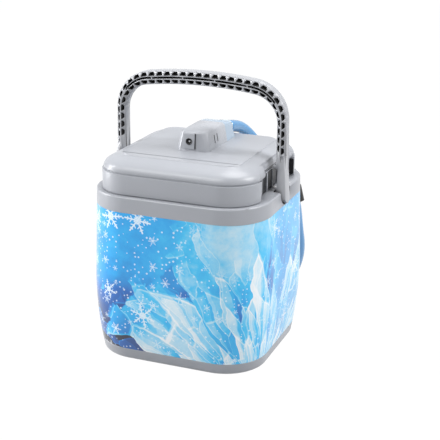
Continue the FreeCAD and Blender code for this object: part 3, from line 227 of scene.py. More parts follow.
class Graph(Tree):
    """The nodes of one material, with a Principled shader at their end."""

    def __init__(self, name: str) -> None:
        """Starts a material of this name."""
        self.material = bpy.data.materials.new(name)
        self.material.use_nodes = True
        super().__init__(self.material.node_tree)
        self.shader = self.node("ShaderNodeBsdfPrincipled")
        self.surface = Signal(self, self.shader.outputs["BSDF"])
        self.output = self.node("ShaderNodeOutputMaterial", None, {"Surface": self.surface})

    def place(self) -> Signal:
        """Object coordinates, in metres."""
        return self.signal("ShaderNodeTexCoord", "Object")

    def map(self, name: str) -> Signal:
        """A piece's own map."""
        return self.signal("ShaderNodeUVMap", "UV", {"uv_map": name})

    def axes(self, vector: Signal) -> tuple[Signal, Signal, Signal]:
        """The three parts of a vector."""
        split = self.node("ShaderNodeSeparateXYZ", None, {"Vector": vector})
        return tuple(Signal(self, split.outputs[axis]) for axis in "XYZ")

    def vector(self, x: Value, y: Value) -> Signal:
        """A level vector of two values."""
        return self.signal("ShaderNodeCombineXYZ", 0, None, {0: x, 1: y})

    def stretch(self, vector: Signal, scale: Triple) -> Signal:
        """A vector scaled along its axes."""
        return self.signal("ShaderNodeMapping", "Vector", None, {"Vector": vector, "Scale": scale})

    def noise(self, vector: Signal, scale: float, detail: float = 3.0, roughness: float = 0.5) -> Signal:
        """Smooth noise around 0.5."""
        return self.signal("ShaderNodeTexNoise", "Fac", None,
                           {"Vector": vector, "Scale": scale, "Detail": detail, "Roughness": roughness})

    def flat_cells(self, vector: Signal, scale: float, randomness: float = 1.0) -> Cells:
        """Voronoi cells on a plane: their random colour, the way from their middle, and their edges."""
        plane = {"voronoi_dimensions": "2D"}
        inputs = {"Vector": vector, "Scale": scale, "Randomness": randomness}
        near = self.node("ShaderNodeTexVoronoi", plane, inputs)
        edge = self.signal("ShaderNodeTexVoronoi", "Distance",
                           {**plane, "feature": "DISTANCE_TO_EDGE"}, inputs)
        lean = self.signal("ShaderNodeVectorMath", "Vector", {"operation": "SUBTRACT"},
                           {0: vector, 1: Signal(self, near.outputs["Position"])})
        return Cells(self.axes(Signal(self, near.outputs["Color"])), self.axes(lean)[:2], edge)

    def mix(self, factor: Value, first: Shade, second: Shade) -> Signal:
        """The first colour where the factor is 0, the second where it is 1."""
        return self.signal("ShaderNodeMix", 2, {"data_type": "RGBA"}, {0: factor, 6: first, 7: second})

    def ramp(self, factor: Signal, stops: Sequence[tuple[float, Triple]]) -> Signal:
        """A colour ramp over a value."""
        return self.signal("ShaderNodeValToRGB", "Color", {"stops": stops}, {"Fac": factor})

    def set(self, **sockets: Union[Value, Shade]) -> None:
        """Sets the shader's sockets, where an underscore in a name stands for a space."""
        for key, value in sockets.items():
            self.feed(self.shader.inputs[key.replace("_", " ")], value)

    def bump(self, height: Signal, depth: float, strength: float) -> None:
        """Feeds a height, in shares of a depth in metres, to the shader's normal."""
        self.set(Normal=self.signal("ShaderNodeBump", "Normal", None,
                                    {"Height": height, "Distance": depth, "Strength": strength}))


# ---- finishes ----
@dataclass(frozen=True)
class Finish:
    """A finish's name and main colour."""

    name: str
    colour: Triple

    def shaded(self, share: float) -> Triple:
        """The main colour made darker or paler."""
        return tuple(min(1.0, part * share) for part in self.colour)


@dataclass(frozen=True)
class Moulded(Finish):
    """Moulded plastic with a fine spark-eroded grain and slightly uneven tone."""

    roughness: float
    tone: float = 0.05
    cloud_scale: float = 22.0
    cloud_gloss: float = 0.12
    grain_scale: float = 2600.0
    grain_gloss: float = 0.08
    grain_depth: float = 0.03 * MM

    def material(self) -> Material:
        """Builds the material."""
        graph = Graph(self.name)
        place = graph.place()
        cloud = graph.noise(place, self.cloud_scale, 4.0)
        grain = graph.noise(place, self.grain_scale, 2.0, 0.6)
        graph.set(Base_Color=graph.mix(cloud, self.shaded(1 - self.tone), self.shaded(1 + self.tone)),
                  Roughness=self.roughness + (cloud - 0.5) * self.cloud_gloss
                  + (grain - 0.5) * self.grain_gloss)
        graph.bump(grain, self.grain_depth, 0.5)
        return graph.material


@dataclass(frozen=True)
class NotchShade(Finish):
    """Grey plastic with painted shade: dark in the middle of a notch's back wall and grey towards its ends.
    """

    dark: Triple
    dark_to: float = 28.0 * MM
    pale_from: float = 45.0 * MM
    roughness: float = 0.4
    grain_scale: float = 900.0
    grain_share: float = 0.15
    grain_depth: float = 0.03 * MM

    def material(self) -> Material:
        """Builds the material."""
        graph = Graph(self.name)
        place = graph.place()
        along = graph.axes(place)[1].size()
        grain = graph.noise(place, self.grain_scale)
        # Painted shade: the wall turns dark towards the notch's middle.
        tone = graph.mix(along.step(self.dark_to, self.pale_from), self.dark, self.colour)
        graph.set(Base_Color=graph.mix(grain * self.grain_share, tone, self.dark),
                  Roughness=self.roughness + (grain - 0.5) * 0.1)
        graph.bump(grain, self.grain_depth, 0.4)
        return graph.material


@dataclass(frozen=True)
class Steel(Finish):
    """Bright turned steel with fine marks round its axis."""

    roughness: float = 0.28
    dark_share: float = 0.85
    marks_scale: float = 900.0
    marks_depth: float = 0.01 * MM
    stretch: Triple = (1.0, 1.0, 14.0)

    def material(self) -> Material:
        """Builds the material."""
        graph = Graph(self.name)
        marks = graph.noise(graph.stretch(graph.place(), self.stretch), self.marks_scale)
        graph.set(Base_Color=graph.mix(marks, self.shaded(self.dark_share), self.colour),
                  Roughness=self.roughness + (marks - 0.5) * 0.2, Metallic=1.0)
        graph.bump(marks, self.marks_depth, 0.4)
        return graph.material


@dataclass(frozen=True)
class Foam(Finish):
    """Rigid foam with open cells at its skin."""

    roughness: float = 0.9
    dark_share: float = 0.82
    cell_scale: float = 900.0
    cell_depth: float = 0.2 * MM

    def material(self) -> Material:
        """Builds the material."""
        graph = Graph(self.name)
        cells = graph.signal("ShaderNodeTexVoronoi", "Distance", None,
                             {"Vector": graph.place(), "Scale": self.cell_scale})
        graph.set(Base_Color=graph.mix(cells, self.shaded(self.dark_share), self.colour),
                  Roughness=self.roughness)
        graph.bump(cells, self.cell_depth, 0.6)
        return graph.material


@dataclass(frozen=True)
class ClearMoulding(Finish):
    """Milky clear plastic."""

    clearness: float = 0.35
    roughness: float = 0.16
    refraction: float = 1.45
    dark_share: float = 0.9
    haze_scale: float = 260.0
    haze_depth: float = 0.05 * MM

    def material(self) -> Material:
        """Builds the material."""
        graph = Graph(self.name)
        haze = graph.noise(graph.place(), self.haze_scale)
        graph.set(Base_Color=graph.mix(haze, self.shaded(self.dark_share), self.colour),
                  Roughness=self.roughness + haze * 0.1, Transmission_Weight=self.clearness,
                  IOR=self.refraction)
        graph.bump(haze, self.haze_depth, 0.3)
        return graph.material


@dataclass(frozen=True)
class HoseSkin(Finish):
    """Glossy extruded sleeve of the hose, with drawn lines along it."""

    roughness: float = 0.12
    dark_share: float = 0.72
    lines_share: float = 0.3
    lines_depth: float = 0.06 * MM
    cloud_scale: float = 30.0
    cloud_gloss: float = 0.12
    stretch: Triple = (60.0, 2.0, 1.0)

    def material(self) -> Material:
        """Builds the material; the lines follow the tube's own map."""
        graph = Graph(self.name)
        lines = graph.noise(graph.stretch(graph.map(HoseLine.MAP_NAME), self.stretch), 1.0)
        cloud = graph.noise(graph.place(), self.cloud_scale)
        tone = lines * self.lines_share + cloud * (1 - self.lines_share)
        graph.set(Base_Color=graph.mix(tone, self.shaded(self.dark_share), self.colour),
                  Roughness=self.roughness + (cloud - 0.5) * self.cloud_gloss,
                  Coat_Weight=1.0, Coat_Roughness=0.05)
        graph.bump(lines, self.lines_depth, 0.35)
        return graph.material


@dataclass(frozen=True)
class Spot:
    """Where a point of the film is: in space, round the bucket from the front's middle, and in height."""

    place: Signal
    across: Signal
    rise: Signal


@dataclass(frozen=True)
class IceFilm:
    """Glossy printed film: ice shards that fan out from one point, mist behind them and snow crystals."""

    MAP_NAME = "unrolled"

    name: str
    half_width: float = 0.1
    height: float = 0.2
    fan: tuple[float, float] = (0.128, -0.052)
    fan_reach: float = 0.215
    shard_angle: float = 0.17
    shard_length: float = 0.085
    seam: float = 0.366
    seam_soft: float = 0.02
    roughness: float = 0.26
    coat: float = 0.7
    wave_depth: float = 0.4 * MM
    flecks_scale: float = 210.0
    crystals: tuple[tuple[float, float, float, float], ...] = (
        (27.0, 0.36, 0.46, 1.0), (62.0, 0.34, 0.44, 0.8),
    )
    snow: Triple = (0.80, 0.90, 0.96)
    snow_level: float = 0.86
    stops: tuple[tuple[float, Triple], ...] = (
        (0.00, (0.006, 0.012, 0.040)),
        (0.16, (0.003, 0.045, 0.190)),
        (0.32, (0.001, 0.130, 0.500)),
        (0.46, (0.000, 0.360, 0.800)),
        (0.58, (0.030, 0.520, 0.880)),
        (0.72, (0.330, 0.680, 0.890)),
        (0.86, (0.600, 0.790, 0.890)),
        (1.00, (0.840, 0.890, 0.920)),
    )

    def material(self) -> Material:
        """Builds the material."""
        graph = Graph(self.name)
        place, flat = graph.place(), graph.map(self.MAP_NAME)
        spot = Spot(place, *graph.axes(flat)[:2])
        sky = self._sky(graph, spot)
        printed = graph.ramp(self._shards(graph, spot, sky), self.stops)
        away = spot.across.size().step(self.seam, self.seam - self.seam_soft)
        snow = self._flecks(graph, flat)
        for scale, share, reach, level in self.crystals:
            snow = snow.most(self._crystals(graph, flat, scale, share, reach) * level)
        snow = snow * away * sky.step(0.74, 0.5) * self.snow_level
        graph.set(Base_Color=graph.mix(snow, printed, self.snow), Coat_Weight=self.coat, Coat_Roughness=0.06,
                  Roughness=self.roughness + graph.noise(place, 40.0, 2.0) * 0.08)
        graph.bump(graph.noise(place, 26.0, 2.0), self.wave_depth, 0.1)
        return graph.material

    def _sky(self, graph: Graph, spot: Spot) -> Signal:
        """The ground: azure above, navy at the foot of the left half, mist at the upper right.

        Args:
            graph: The material graph.
            spot: Where the point is.

        Returns:
            A value from about 0, navy, to 1, white.
        """
        bend = graph.noise(spot.place, 8.0, 2.0) - 0.5
        mist = graph.noise(spot.place, 15.0, 6.0, 0.6) - 0.5
        side = spot.across / self.half_width + bend * 1.1
        level = spot.rise / self.height + bend * 0.35
        back = spot.across.size().step(0.17, 0.3)
        deep = level.step(0.62, 0.1) * side.step(0.9, -0.4)
        pale = side.step(-0.25, 0.8) * level.step(0.3, 0.85) * side.step(1.75, 1.05)
        streak = graph.noise(graph.vector(side * 0.6, level * 5.0 + side * 1.6), 1.0, 4.0) - 0.5
        front = 0.48 - deep * 0.5 + pale * 0.3 + streak * 0.16
        return front + (0.55 - front) * back * 0.7 + mist * 0.3

    def _shards(self, graph: Graph, spot: Spot, sky: Signal) -> Signal:
        """Ice shards in rings round the fan's point, each with a lit and a shaded face and pale rims.

        Args:
            graph: The material graph.
            spot: Where the point is.
            sky: The ground's value.

        Returns:
            The value that the colour ramp reads.
        """
        wander = graph.noise(spot.place, 22.0) - 0.5
        east, north = spot.across - self.fan[0], spot.rise - self.fan[1]
        reach = (east * east + north * north).power(0.5)
        angle = graph.maths("ARCTAN2", north, east) + wander * 0.16
        frost = graph.noise(spot.place, 60.0, 8.0, 0.68) - 0.5
        value = sky
        for finer, share in ((1.0, 1.0), (1.9, 0.55)):
            fan = graph.vector(angle / self.shard_angle * finer,
                               (reach + wander * 0.02) / self.shard_length * finer)
            shard = graph.flat_cells(fan, 1.0, 0.9)
            body = reach.step(self.fan_reach * (1.12 - 0.2 * finer), self.fan_reach * (0.98 - 0.2 * finer))
            ragged = reach + (shard.chance[2] - 0.5) * 0.09 + frost * 0.02
            here = shard.chance[1].step(0.2, 0.24) * ragged.step(self.fan_reach, self.fan_reach * 0.985)
            facet = (shard.lean[0] + shard.lean[1] * 0.3).step(-0.02, 0.02) - 0.5
            tone = 0.66 + (shard.chance[0] - 0.5) * 0.5 + facet * 0.2 + shard.lean[1] * 0.2
            rim = shard.edge.step(0.055, 0.015)
            value = value + (tone + rim * 0.3 - value) * here * share * (0.55 + 0.45 * body)
        return value + frost * 0.34 * value.step(0.3, 0.7)

    def _crystals(self, graph: Graph, flat: Signal, scale: float, share: float, reach: float) -> Signal:
        """Six-armed snow crystals scattered over the film.

        Args:
            graph: The material graph.
            flat: The film laid flat.
            scale: Cells in a metre.
            share: Share of the cells that hold a crystal.
            reach: Radius of the largest crystal, in cells.

        Returns:
            1 on the crystals, 0 beside them.
        """
        cell = graph.flat_cells(flat, scale, 0.75)
        grown = scale / (cell.chance[1] * reach * 0.55 + reach * 0.45)
        east, north = cell.lean[0] * grown, cell.lean[1] * grown
        away = (east * east + north * north).power(0.5)
        turn = graph.maths("ARCTAN2", north, east) + cell.chance[2] * 3.0 + math.pi
        off_axis = (turn.within(math.pi / 3) - math.pi / 6).size()
        along = away * graph.maths("COSINE", off_axis)
        beside = away * graph.maths("SINE", off_axis)
        arm = beside.step(0.075, 0.03) * along.step(1.0, 0.93)
        barb = ((along - beside * 0.577).within(0.26) - 0.15).size().step(0.055, 0.02)
        barb = barb * (beside + along * 0.42).step(0.47, 0.43) * along.step(0.95, 0.9)
        hub = (along - 0.17).size().step(0.05, 0.02)
        return arm.most(barb).most(hub) * cell.chance[0].step(share + 0.01, share)

    def _flecks(self, graph: Graph, flat: Signal) -> Signal:
        """Small round flecks of snow."""
        cell = graph.flat_cells(flat, self.flecks_scale)
        away = (cell.lean[0] * cell.lean[0] + cell.lean[1] * cell.lean[1]).power(0.5) * self.flecks_scale
        return (away - cell.chance[1] * 0.16).step(0.14, 0.06) * cell.chance[0].step(0.3, 0.28) * 0.8


# ---- meshes ----
class Builder:
    """Turns meshes into pieces of the frame."""

    SMOOTH_ANGLE = math.radians(32.0)
    MERGE_DISTANCE = 0.002 * MM
    BLACK_NODE = "hose_clip"

    def __init__(self, frame: dict) -> None:
        self.frame = frame
        self.body_of = {node: body for body, nodes in frame["record"]["behaviour"]["bodies"].items()
                        for node in nodes}
        self.slot_of = {part["node"]: part["material_slot"] for part in frame["record"]["subparts"]}

    @staticmethod
    def link(name: str, data: bpy.types.ID) -> Piece:
        """Makes an object of some data, linked to the scene."""
        made = bpy.data.objects.new(name, data)
        bpy.context.collection.objects.link(made)
        return made

    @classmethod
    def to_piece(cls, name: str, mesh: Mesh, *materials: Material) -> Piece:
        """Makes a linked object of a bmesh, which is freed."""
        data = bpy.data.meshes.new(name)
        mesh.to_mesh(data)
        mesh.free()
        for material in materials:
            data.materials.append(material)
        return cls.link(name, data)

    def add(self, node: str, name: str, mesh: Mesh, *materials: Material) -> Piece:
        """Makes a piece, smooth up to an angle, that rides with a node's body.

        Args:
            node: The node whose body it rides with.
            name: The piece's name.
            mesh: The bmesh, which is freed.
            materials: Its materials, in the order of the faces' indices.

        Returns:
            The new piece.
        """
        bmesh.ops.recalc_face_normals(mesh, faces=mesh.faces)
        for face in mesh.faces:
            face.smooth = True
        piece = self.to_piece(name, mesh, *materials)
        piece.data.set_sharp_from_angle(angle=self.SMOOTH_ANGLE)
        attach(piece, self.body_of[node])
        return piece

    def stand_for(self, node: str, name: str, mesh: Mesh, *materials: Material) -> None:
        """Makes a piece that replaces a node and hides it; for the arguments see add."""
        piece = self.add(node, name, mesh, *materials)
        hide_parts(node)
        LOG.info("%s stands for %s", name, node)

    def add_black(self, node: str, name: str, mesh: Mesh, black: Material) -> None:
        """Makes a black extra piece that rides with a node's body."""
        self.add(node, name, mesh, black)

    def merged(self, node: str) -> Mesh:
        """A merged copy of a node's mesh."""
        copy = bmesh.new()
        copy.from_mesh(self.frame["nodes"][node].data)
        bmesh.ops.remove_doubles(copy, verts=copy.verts, dist=self.MERGE_DISTANCE)
        return copy

    def smooth_copy(self, node: str, material: Material) -> None:
        """Puts a copy with merged points and smooth curved faces in a node's place."""
        self.stand_for(node, f"{node}_surface", self.merged(node), material)

    def dress(self, material: Material, *nodes: str) -> None:
        """Gives a finish to nodes that keep their own mesh."""
        for node in nodes:
            data = self.frame["nodes"][node].data
            data.materials.clear()
            data.materials.append(material)
            LOG.info("%s keeps its solid, finish %s", node, material.name)


class Side(Enum):
    """The two sides of the machine."""

    LEFT = -1
    RIGHT = 1


@dataclass(frozen=True)
class Section:
    """A level rounded rectangle round the machine's axis."""

    half_x: float
    half_y: float
    corner: float
    height: float

    def inset(self, distance: float) -> "Section":
        """The same outline moved inwards."""
        return Section(self.half_x - distance, self.half_y - distance, max(self.corner - distance, MM),
                       self.height)


class Skin:
    """Surfaces that run through a list of sections, and the steps that shape them."""

    CORNER_SEGMENTS = 12
    SQUARE_ON = 0.99

    @staticmethod
    def cut(mesh: Mesh, place: Triple, normal: Triple) -> None:
        """Cuts a whole mesh along a plane and keeps both sides."""
        bmesh.ops.bisect_plane(mesh, geom=[*mesh.verts, *mesh.edges, *mesh.faces],
                               plane_co=place, plane_no=normal)

    @staticmethod
    def round_off(mesh: Mesh, parts: list, radius: float, segments: int, affect: str = "EDGES") -> None:
        """Rounds edges, or with VERTICES the corners of a flat outline."""
        bmesh.ops.bevel(mesh, geom=parts, offset=radius, offset_type="OFFSET", affect=affect,
                        segments=segments, profile=0.5, material=-1)

    @staticmethod
    def add_box(mesh: Mesh, size: Sequence[float], centre: Sequence[float]) -> list[bmesh.types.BMEdge]:
        """Adds a box to a mesh and gives its edges."""
        verts = bmesh.ops.create_cube(mesh, size=1.0)["verts"]
        bmesh.ops.scale(mesh, vec=size, verts=verts)
        bmesh.ops.translate(mesh, vec=centre, verts=verts)
        return list(dict.fromkeys(edge for vert in verts for edge in vert.link_edges))

    @classmethod
    def ring(cls, mesh: Mesh, section: Section) -> list[bmesh.types.BMEdge]:
        """Draws one section as edges, in a mesh that has no faces yet.

        Args:
            mesh: The mesh.
            section: The outline.

        Returns:
            The outline's edges.
        """
        verts = bmesh.ops.create_grid(mesh, x_segments=1, y_segments=1, size=1.0)["verts"]
        bmesh.ops.scale(mesh, vec=(section.half_x, section.half_y, 1.0), verts=verts)
        bmesh.ops.translate(mesh, vec=(0.0, 0.0, section.height), verts=verts)
        cls.round_off(mesh, verts, section.corner, cls.CORNER_SEGMENTS, "VERTICES")
        mesh.faces.ensure_lookup_table()
        face = mesh.faces[0]
        edges = list(face.edges)
        bmesh.ops.delete(mesh, geom=[face], context="FACES_ONLY")
        return edges

    @classmethod
    def through(cls, sections: Sequence[Section], capped: bool) -> Mesh:
        """A closed skin through sections: with a cap at each end, or back from the last to the first.

        Args:
            sections: The outlines in order.
            capped: Whether the ends are capped.

        Returns:
            The new mesh.
        """
        mesh = bmesh.new()
        rings = [cls.ring(mesh, section) for section in sections]
        pairs = list(zip(rings, rings[1:])) + ([] if capped else [(rings[-1], rings[0])])
        for lower, upper in pairs:
            bmesh.ops.bridge_loops(mesh, edges=lower + upper)
        if capped:
            for end in (rings[0], rings[-1]):
                bmesh.ops.contextual_create(mesh, geom=end)
        bmesh.ops.recalc_face_normals(mesh, faces=mesh.faces)
        return mesh


@dataclass
class Bucket:
    """The bucket's printed wrap and its grey foot tray."""

    half_x: float = 107.9 * MM
    half_y: float = 103.9 * MM
    corner: float = 54.0 * MM
    widest: float = 95.0 * MM
    rim: float = 200.0 * MM
    taper_x: float = 7.2 * MM
    taper_y: float = 8.8 * MM
    corner_loss: float = 4.0 * MM
    taper_power: float = 2.2
    rim_taper_x: float = 3.2 * MM
    solid_taper_x: float = 1.0 * MM
    inner_x: float = 91.0 * MM
    inner_y: float = 87.0 * MM
    rim_taper_y: float = 1.0 * MM
    trim_top: float = 13.7 * MM
    wrap_top: float = 182.0 * MM
    wrap_thickness: float = 0.8 * MM
    trim_thickness: float = 2.0 * MM
    trim_floor: float = 2.6 * MM
    trim_levels: tuple[float, float] = (7.0 * MM, 10.5 * MM)
    foot_round: float = 3.0 * MM
    edge_round: float = 0.3 * MM
    levels: int = 26
    round_steps: int = 6

    def section(self, height: float, inset: float = 0.0) -> Section:
        """The bucket's outline at a height."""
        if height < self.widest:
            draw = (1 - height / self.widest) ** self.taper_power
            form = Section(self.half_x - self.taper_x * draw, self.half_y - self.taper_y * draw,
                           self.corner - self.corner_loss * draw, height)
        else:
            draw = (height - self.widest) / (self.rim - self.widest)
            form = Section(self.half_x - self.rim_taper_x * draw, self.half_y - self.rim_taper_y * draw,
                           self.corner, height)
        return form.inset(inset)

    def wrap(self) -> Mesh:
        """The printed sleeve: an outer and an inner skin with slightly rounded rims."""
        edge = self.edge_round
        low, high = self.trim_top, self.wrap_top
        rise = (high - low - 2 * edge) / self.levels
        heights = [low + edge + rise * index for index in range(self.levels + 1)]
        outside = [self.section(low, edge), *(self.section(height) for height in heights),
                   self.section(high, edge)]
        inside = [self.section(height, self.wrap_thickness)
                  for height in (high, *reversed(heights[::4]), low)]
        mesh = Skin.through(outside + inside, capped=False)
        self.unroll(mesh)
        return mesh

    def unroll(self, mesh: Mesh) -> None:
        """Writes the map of the sleeve laid flat: the way round from the front's middle, and the height."""
        Skin.cut(mesh, (0.0, 0.0, 0.0), (1.0, 0.0, 0.0))
        layer = mesh.loops.layers.uv.new(IceFilm.MAP_NAME)
        for face in mesh.faces:
            side = math.copysign(1.0, face.calc_center_median().x)
            for loop in face.loops:
                point = loop.vert.co
                loop[layer].uv = (side * self.way_round(abs(point.x), point.y), point.z)

    def way_round(self, across: float, along: float) -> float:
        """Length of the outline from the front's middle to a point of the right half.

        Args:
            across: The point's distance from the middle plane.
            along: Its distance behind the bucket's middle.

        Returns:
            The length at the widest level.
        """
        flat_x, flat_y = self.half_x - self.corner, self.half_y - self.corner
        bend = self.corner * math.pi / 2
        if abs(along) <= flat_y:
            return flat_x + bend + flat_y + along
        if along < 0:
            turn = math.atan2(max(across - flat_x, 0.0), -along - flat_y)
            return min(across, flat_x) + self.corner * turn
        turn = math.atan2(along - flat_y, max(across - flat_x, 0.0))
        return flat_x + bend + 2 * flat_y + self.corner * turn + flat_x - min(across, flat_x)

    def narrow(self, mesh: Mesh) -> None:
        """Draws a solid's outer faces in towards the rim, as the sleeve's are."""
        for vert in mesh.verts:
            outer = abs(vert.co.x) > self.inner_x or abs(vert.co.y) > self.inner_y
            if outer and vert.co.z > self.widest:
                draw = (vert.co.z - self.widest) / (self.rim - self.widest)
                vert.co.x *= 1 - (self.rim_taper_x - self.solid_taper_x) * draw / self.half_x

    def tray(self) -> Mesh:
        """The foot tray, with a rounded bottom edge and a hollow for the shell."""
        outside = []
        for index in range(self.round_steps + 1):
            turn = math.pi / 2 * index / self.round_steps
            height = self.foot_round * (1 - math.cos(turn))
            outside.append(self.section(height, self.foot_round * (1 - math.sin(turn))))
        edge = self.edge_round
        outside += [self.section(height) for height in (*self.trim_levels, self.trim_top - edge)]
        outside.append(self.section(self.trim_top, edge))
        inside = [self.section(height, self.trim_thickness) for height in (self.trim_top, self.trim_floor)]
        return Skin.through(outside + inside, capped=True)

    def build(self, builder: Builder, film: Material, grey: Material,
              shell: Material) -> None:
        """Makes the sleeve, the tray and the shell under the sleeve.

        Args:
            builder: The piece maker.
            film: The printed film.
            grey: The moulded grey plastic.
            shell: The shell's plastic.
        """
        inside = builder.merged("outer_shell")
        self.narrow(inside)
        builder.stand_for("outer_shell", "shell_surface", inside, shell)
        builder.stand_for("printed_sleeve", "printed_wrap", self.wrap(), film)
        builder.stand_for("base_trim", "foot_tray", self.tray(), grey)


@dataclass(frozen=True)
class Hollow:
    """A hollow pressed into each side of the lid: its floor, half length, run-out and soft rim."""

    LEAD = 0.25

    wall: float
    half: float
    turn: float
    blend: float

    def depth(self, width: float, along: float) -> float:
        """How far a point of a side is pressed in.

        Args:
            width: The side's distance from the middle plane.
            along: The point's distance from the bail's plane.

        Returns:
            The displacement towards the middle plane.
        """
        ease = min(max((abs(along) - self.half) / self.turn + self.LEAD, 0.0), 1.0)
        near = max(self.blend - abs(width - self.wall), 0.0) / self.blend
        least = min(width, self.wall) - near * near * self.blend / 4
        return (1 - ease * ease * (3 - 2 * ease)) * (width - least)


@dataclass
class Lid:
    """The lid's band and its dome, with a notch on each side for the bail's legs."""

    half_x: float = 96.2 * MM
    half_y: float = 96.2 * MM
    corner: float = 42.0 * MM
    bottom: float = 200.4 * MM
    parting: float = 223.2 * MM
    parting_gap: float = 0.9 * MM
    lip_inset: float = 1.8 * MM
    edge_round: float = 0.5 * MM
    levels: tuple[tuple[float, float, float], ...] = (
        (0.0, 1.2, 40.8), (4.0, 1.7, 40.3), (8.5, 4.6, 37.4), (12.1, 10.4, 32.0),
        (14.5, 17.0, 24.0), (15.9, 22.0, 17.0), (16.6, 23.6, 15.4), (17.7, 24.6, 14.4),
    )
    steps: int = 6
    notch: Hollow = Hollow(88.0 * MM, 57.0 * MM, 2.6 * MM, 9.0 * MM)
    valley: Hollow = Hollow(88.0 * MM, 30.0 * MM, 18.0 * MM, 13.0 * MM)
    legroom: Hollow = Hollow(93.5 * MM, 58.0 * MM, 6.0 * MM, 2.0 * MM)
    notch_cuts: int = 8
    skin_depth: float = 2.2 * MM
    under_inset: float = 13.0 * MM
    rib_thickness: float = 2.8 * MM
    rib_stand: float = 1.2 * MM
    rib_root: float = 0.5 * MM
    rib_round: float = 0.35 * MM
    rib_segments: int = 2
    rib_pitch: float = 19.0 * MM
    rib_count: int = 5
    wall_margin: float = 0.4 * MM
    wall_upright: float = 0.97
    lip_share: float = 0.3
    top_inset: float = 1.5 * MM
    recess_low: float = 201.6 * MM
    recess_height: float = 19.0 * MM
    recess_width: float = 5.6 * MM
    recess_thickness: float = 1.4 * MM
    recess_back: float = 0.9 * MM
    recess_margin: float = 2.2 * MM
    recess_round: float = 2.0 * MM
    recess_segments: int = 5

    def outline(self, inset: float, height: float) -> Section:
        """The band's outline moved inwards, at a height."""
        return Section(self.half_x, self.half_y, self.corner, height).inset(inset)

    def profile(self) -> list[Section]:
        """Sections of a smooth dome through the levels."""
        knots = [Vector((inset, rise, corner)) * MM for rise, inset, corner in self.levels]
        last = len(knots) - 1
        points = []
        for index in range(last):
            before, start, end, after = (knots[min(max(index + step, 0), last)] for step in (-1, 0, 1, 2))
            curve = interpolate_bezier(start, start + (end - before) / 6, end - (after - start) / 6, end,
                                       self.steps)
            points += curve[:-1]
        points.append(knots[-1])
        return [Section(self.half_x - inset, self.half_y - inset, corner, self.parting + rise)
                for inset, rise, corner in points]

    def press_notches(self, mesh: Mesh, sections: Sequence[Section], *hollows: Hollow) -> None:
        """Presses hollows into both sides of a skin.

        Args:
            mesh: The skin.
            sections: The sections it was made through, whose widths tell how deep to press.
            hollows: The hollows, of which the deepest counts at each point.
        """
        for hollow in hollows:
            for end in Side:
                for index in range(self.notch_cuts):
                    share = index / (self.notch_cuts - 1)
                    reach = hollow.half + hollow.turn * (share - hollow.LEAD)
                    Skin.cut(mesh, (0.0, end.value * reach, 0.0), (0.0, 1.0, 0.0))
        for vert in mesh.verts:
            if abs(vert.co.x) > self.notch.wall - self.skin_depth:
                width = self.width_at(sections, vert.co.z)
                depth = max(hollow.depth(width, vert.co.y) for hollow in hollows)
                vert.co.x -= math.copysign(depth, vert.co.x)

    @staticmethod
    def width_at(sections: Sequence[Section], height: float) -> float:
        """Half width of the outer skin at a height, from the sections on both sides of it."""
        for low, high in zip(sections, sections[1:]):
            if low.height <= height <= high.height and high.height > low.height:
                share = (height - low.height) / (high.height - low.height)
                return low.half_x + (high.half_x - low.half_x) * share
        return sections[0].half_x if height < sections[0].height else sections[-1].half_x

    def shade_walls(self, mesh: Mesh) -> None:
        """Gives the upright back walls of the notches the second material, which paints shade on them."""
        for face in mesh.faces:
            centre = face.calc_center_median()
            low, high = self.notch.wall - self.skin_depth, self.notch.wall + self.wall_margin
            back = low < abs(centre.x) < high and abs(centre.y) < self.notch.half
            if back and abs(face.normal.x) > self.wall_upright:
                face.material_index = 1

    def dome(self) -> Mesh:
        """The domed cover, with the lip that stands in the parting line's groove."""
        start = self.parting + self.parting_gap
        curve = [section for section in self.profile() if section.height > start + self.edge_round]
        edge = curve[0]
        lip = [self.outline(self.lip_inset, self.parting), self.outline(self.lip_inset, start),
               Section(edge.half_x - self.edge_round, edge.half_y - self.edge_round, edge.corner, start)]
        mesh = Skin.through(lip + curve, capped=True)
        self.press_notches(mesh, curve, self.valley, self.legroom)
        self.shade_walls(mesh)
        top = max(mesh.faces, key=lambda face: face.calc_center_median().z)
        bmesh.ops.inset_region(mesh, faces=[top], thickness=self.top_inset)
        return mesh

    def band(self) -> Mesh:
        """The upright band, with ribs on the back wall of each notch."""
        edge = self.edge_round
        lip = edge * self.lip_share
        outside = [self.outline(self.under_inset, self.bottom), self.outline(edge, self.bottom),
                   self.outline(0.0, self.bottom + edge), self.outline(0.0, self.parting - edge),
                   self.outline(lip, self.parting - lip), self.outline(edge, self.parting),
                   self.outline(self.lip_inset + edge, self.parting)]
        mesh = Skin.through(outside, capped=True)
        self.press_notches(mesh, outside[2:4], self.notch)
        self.shade_walls(mesh)
        depth, height = self.rib_stand + self.rib_root, self.parting - self.bottom - 2 * edge
        for side in Side:
            for index in range(self.rib_count):
                centre = (side.value * (self.notch.wall + self.rib_stand - depth / 2),
                          (index - (self.rib_count - 1) / 2) * self.rib_pitch,
                          self.bottom + edge + height / 2)
                rib = Skin.add_box(mesh, (depth, self.rib_thickness, height), centre)
                Skin.round_off(mesh, rib, self.rib_round, self.rib_segments)
        return mesh

    def recess(self) -> Mesh:
        """Black upright plates in the rear end of each notch, which paint the shade where the notch runs
        deep.
        """
        mesh = bmesh.new()
        for side in Side:
            centre = (side.value * (self.notch.wall + self.recess_margin + self.recess_width / 2),
                      self.notch.half + self.recess_back, self.recess_low + self.recess_height / 2)
            plate = Skin.add_box(mesh, (self.recess_width, self.recess_thickness, self.recess_height), centre)
            corners = [edge for edge in plate
                       if abs((edge.verts[0].co - edge.verts[1].co).y) > self.recess_thickness / 2]
            Skin.round_off(mesh, corners, self.recess_round, self.recess_segments)
        return mesh

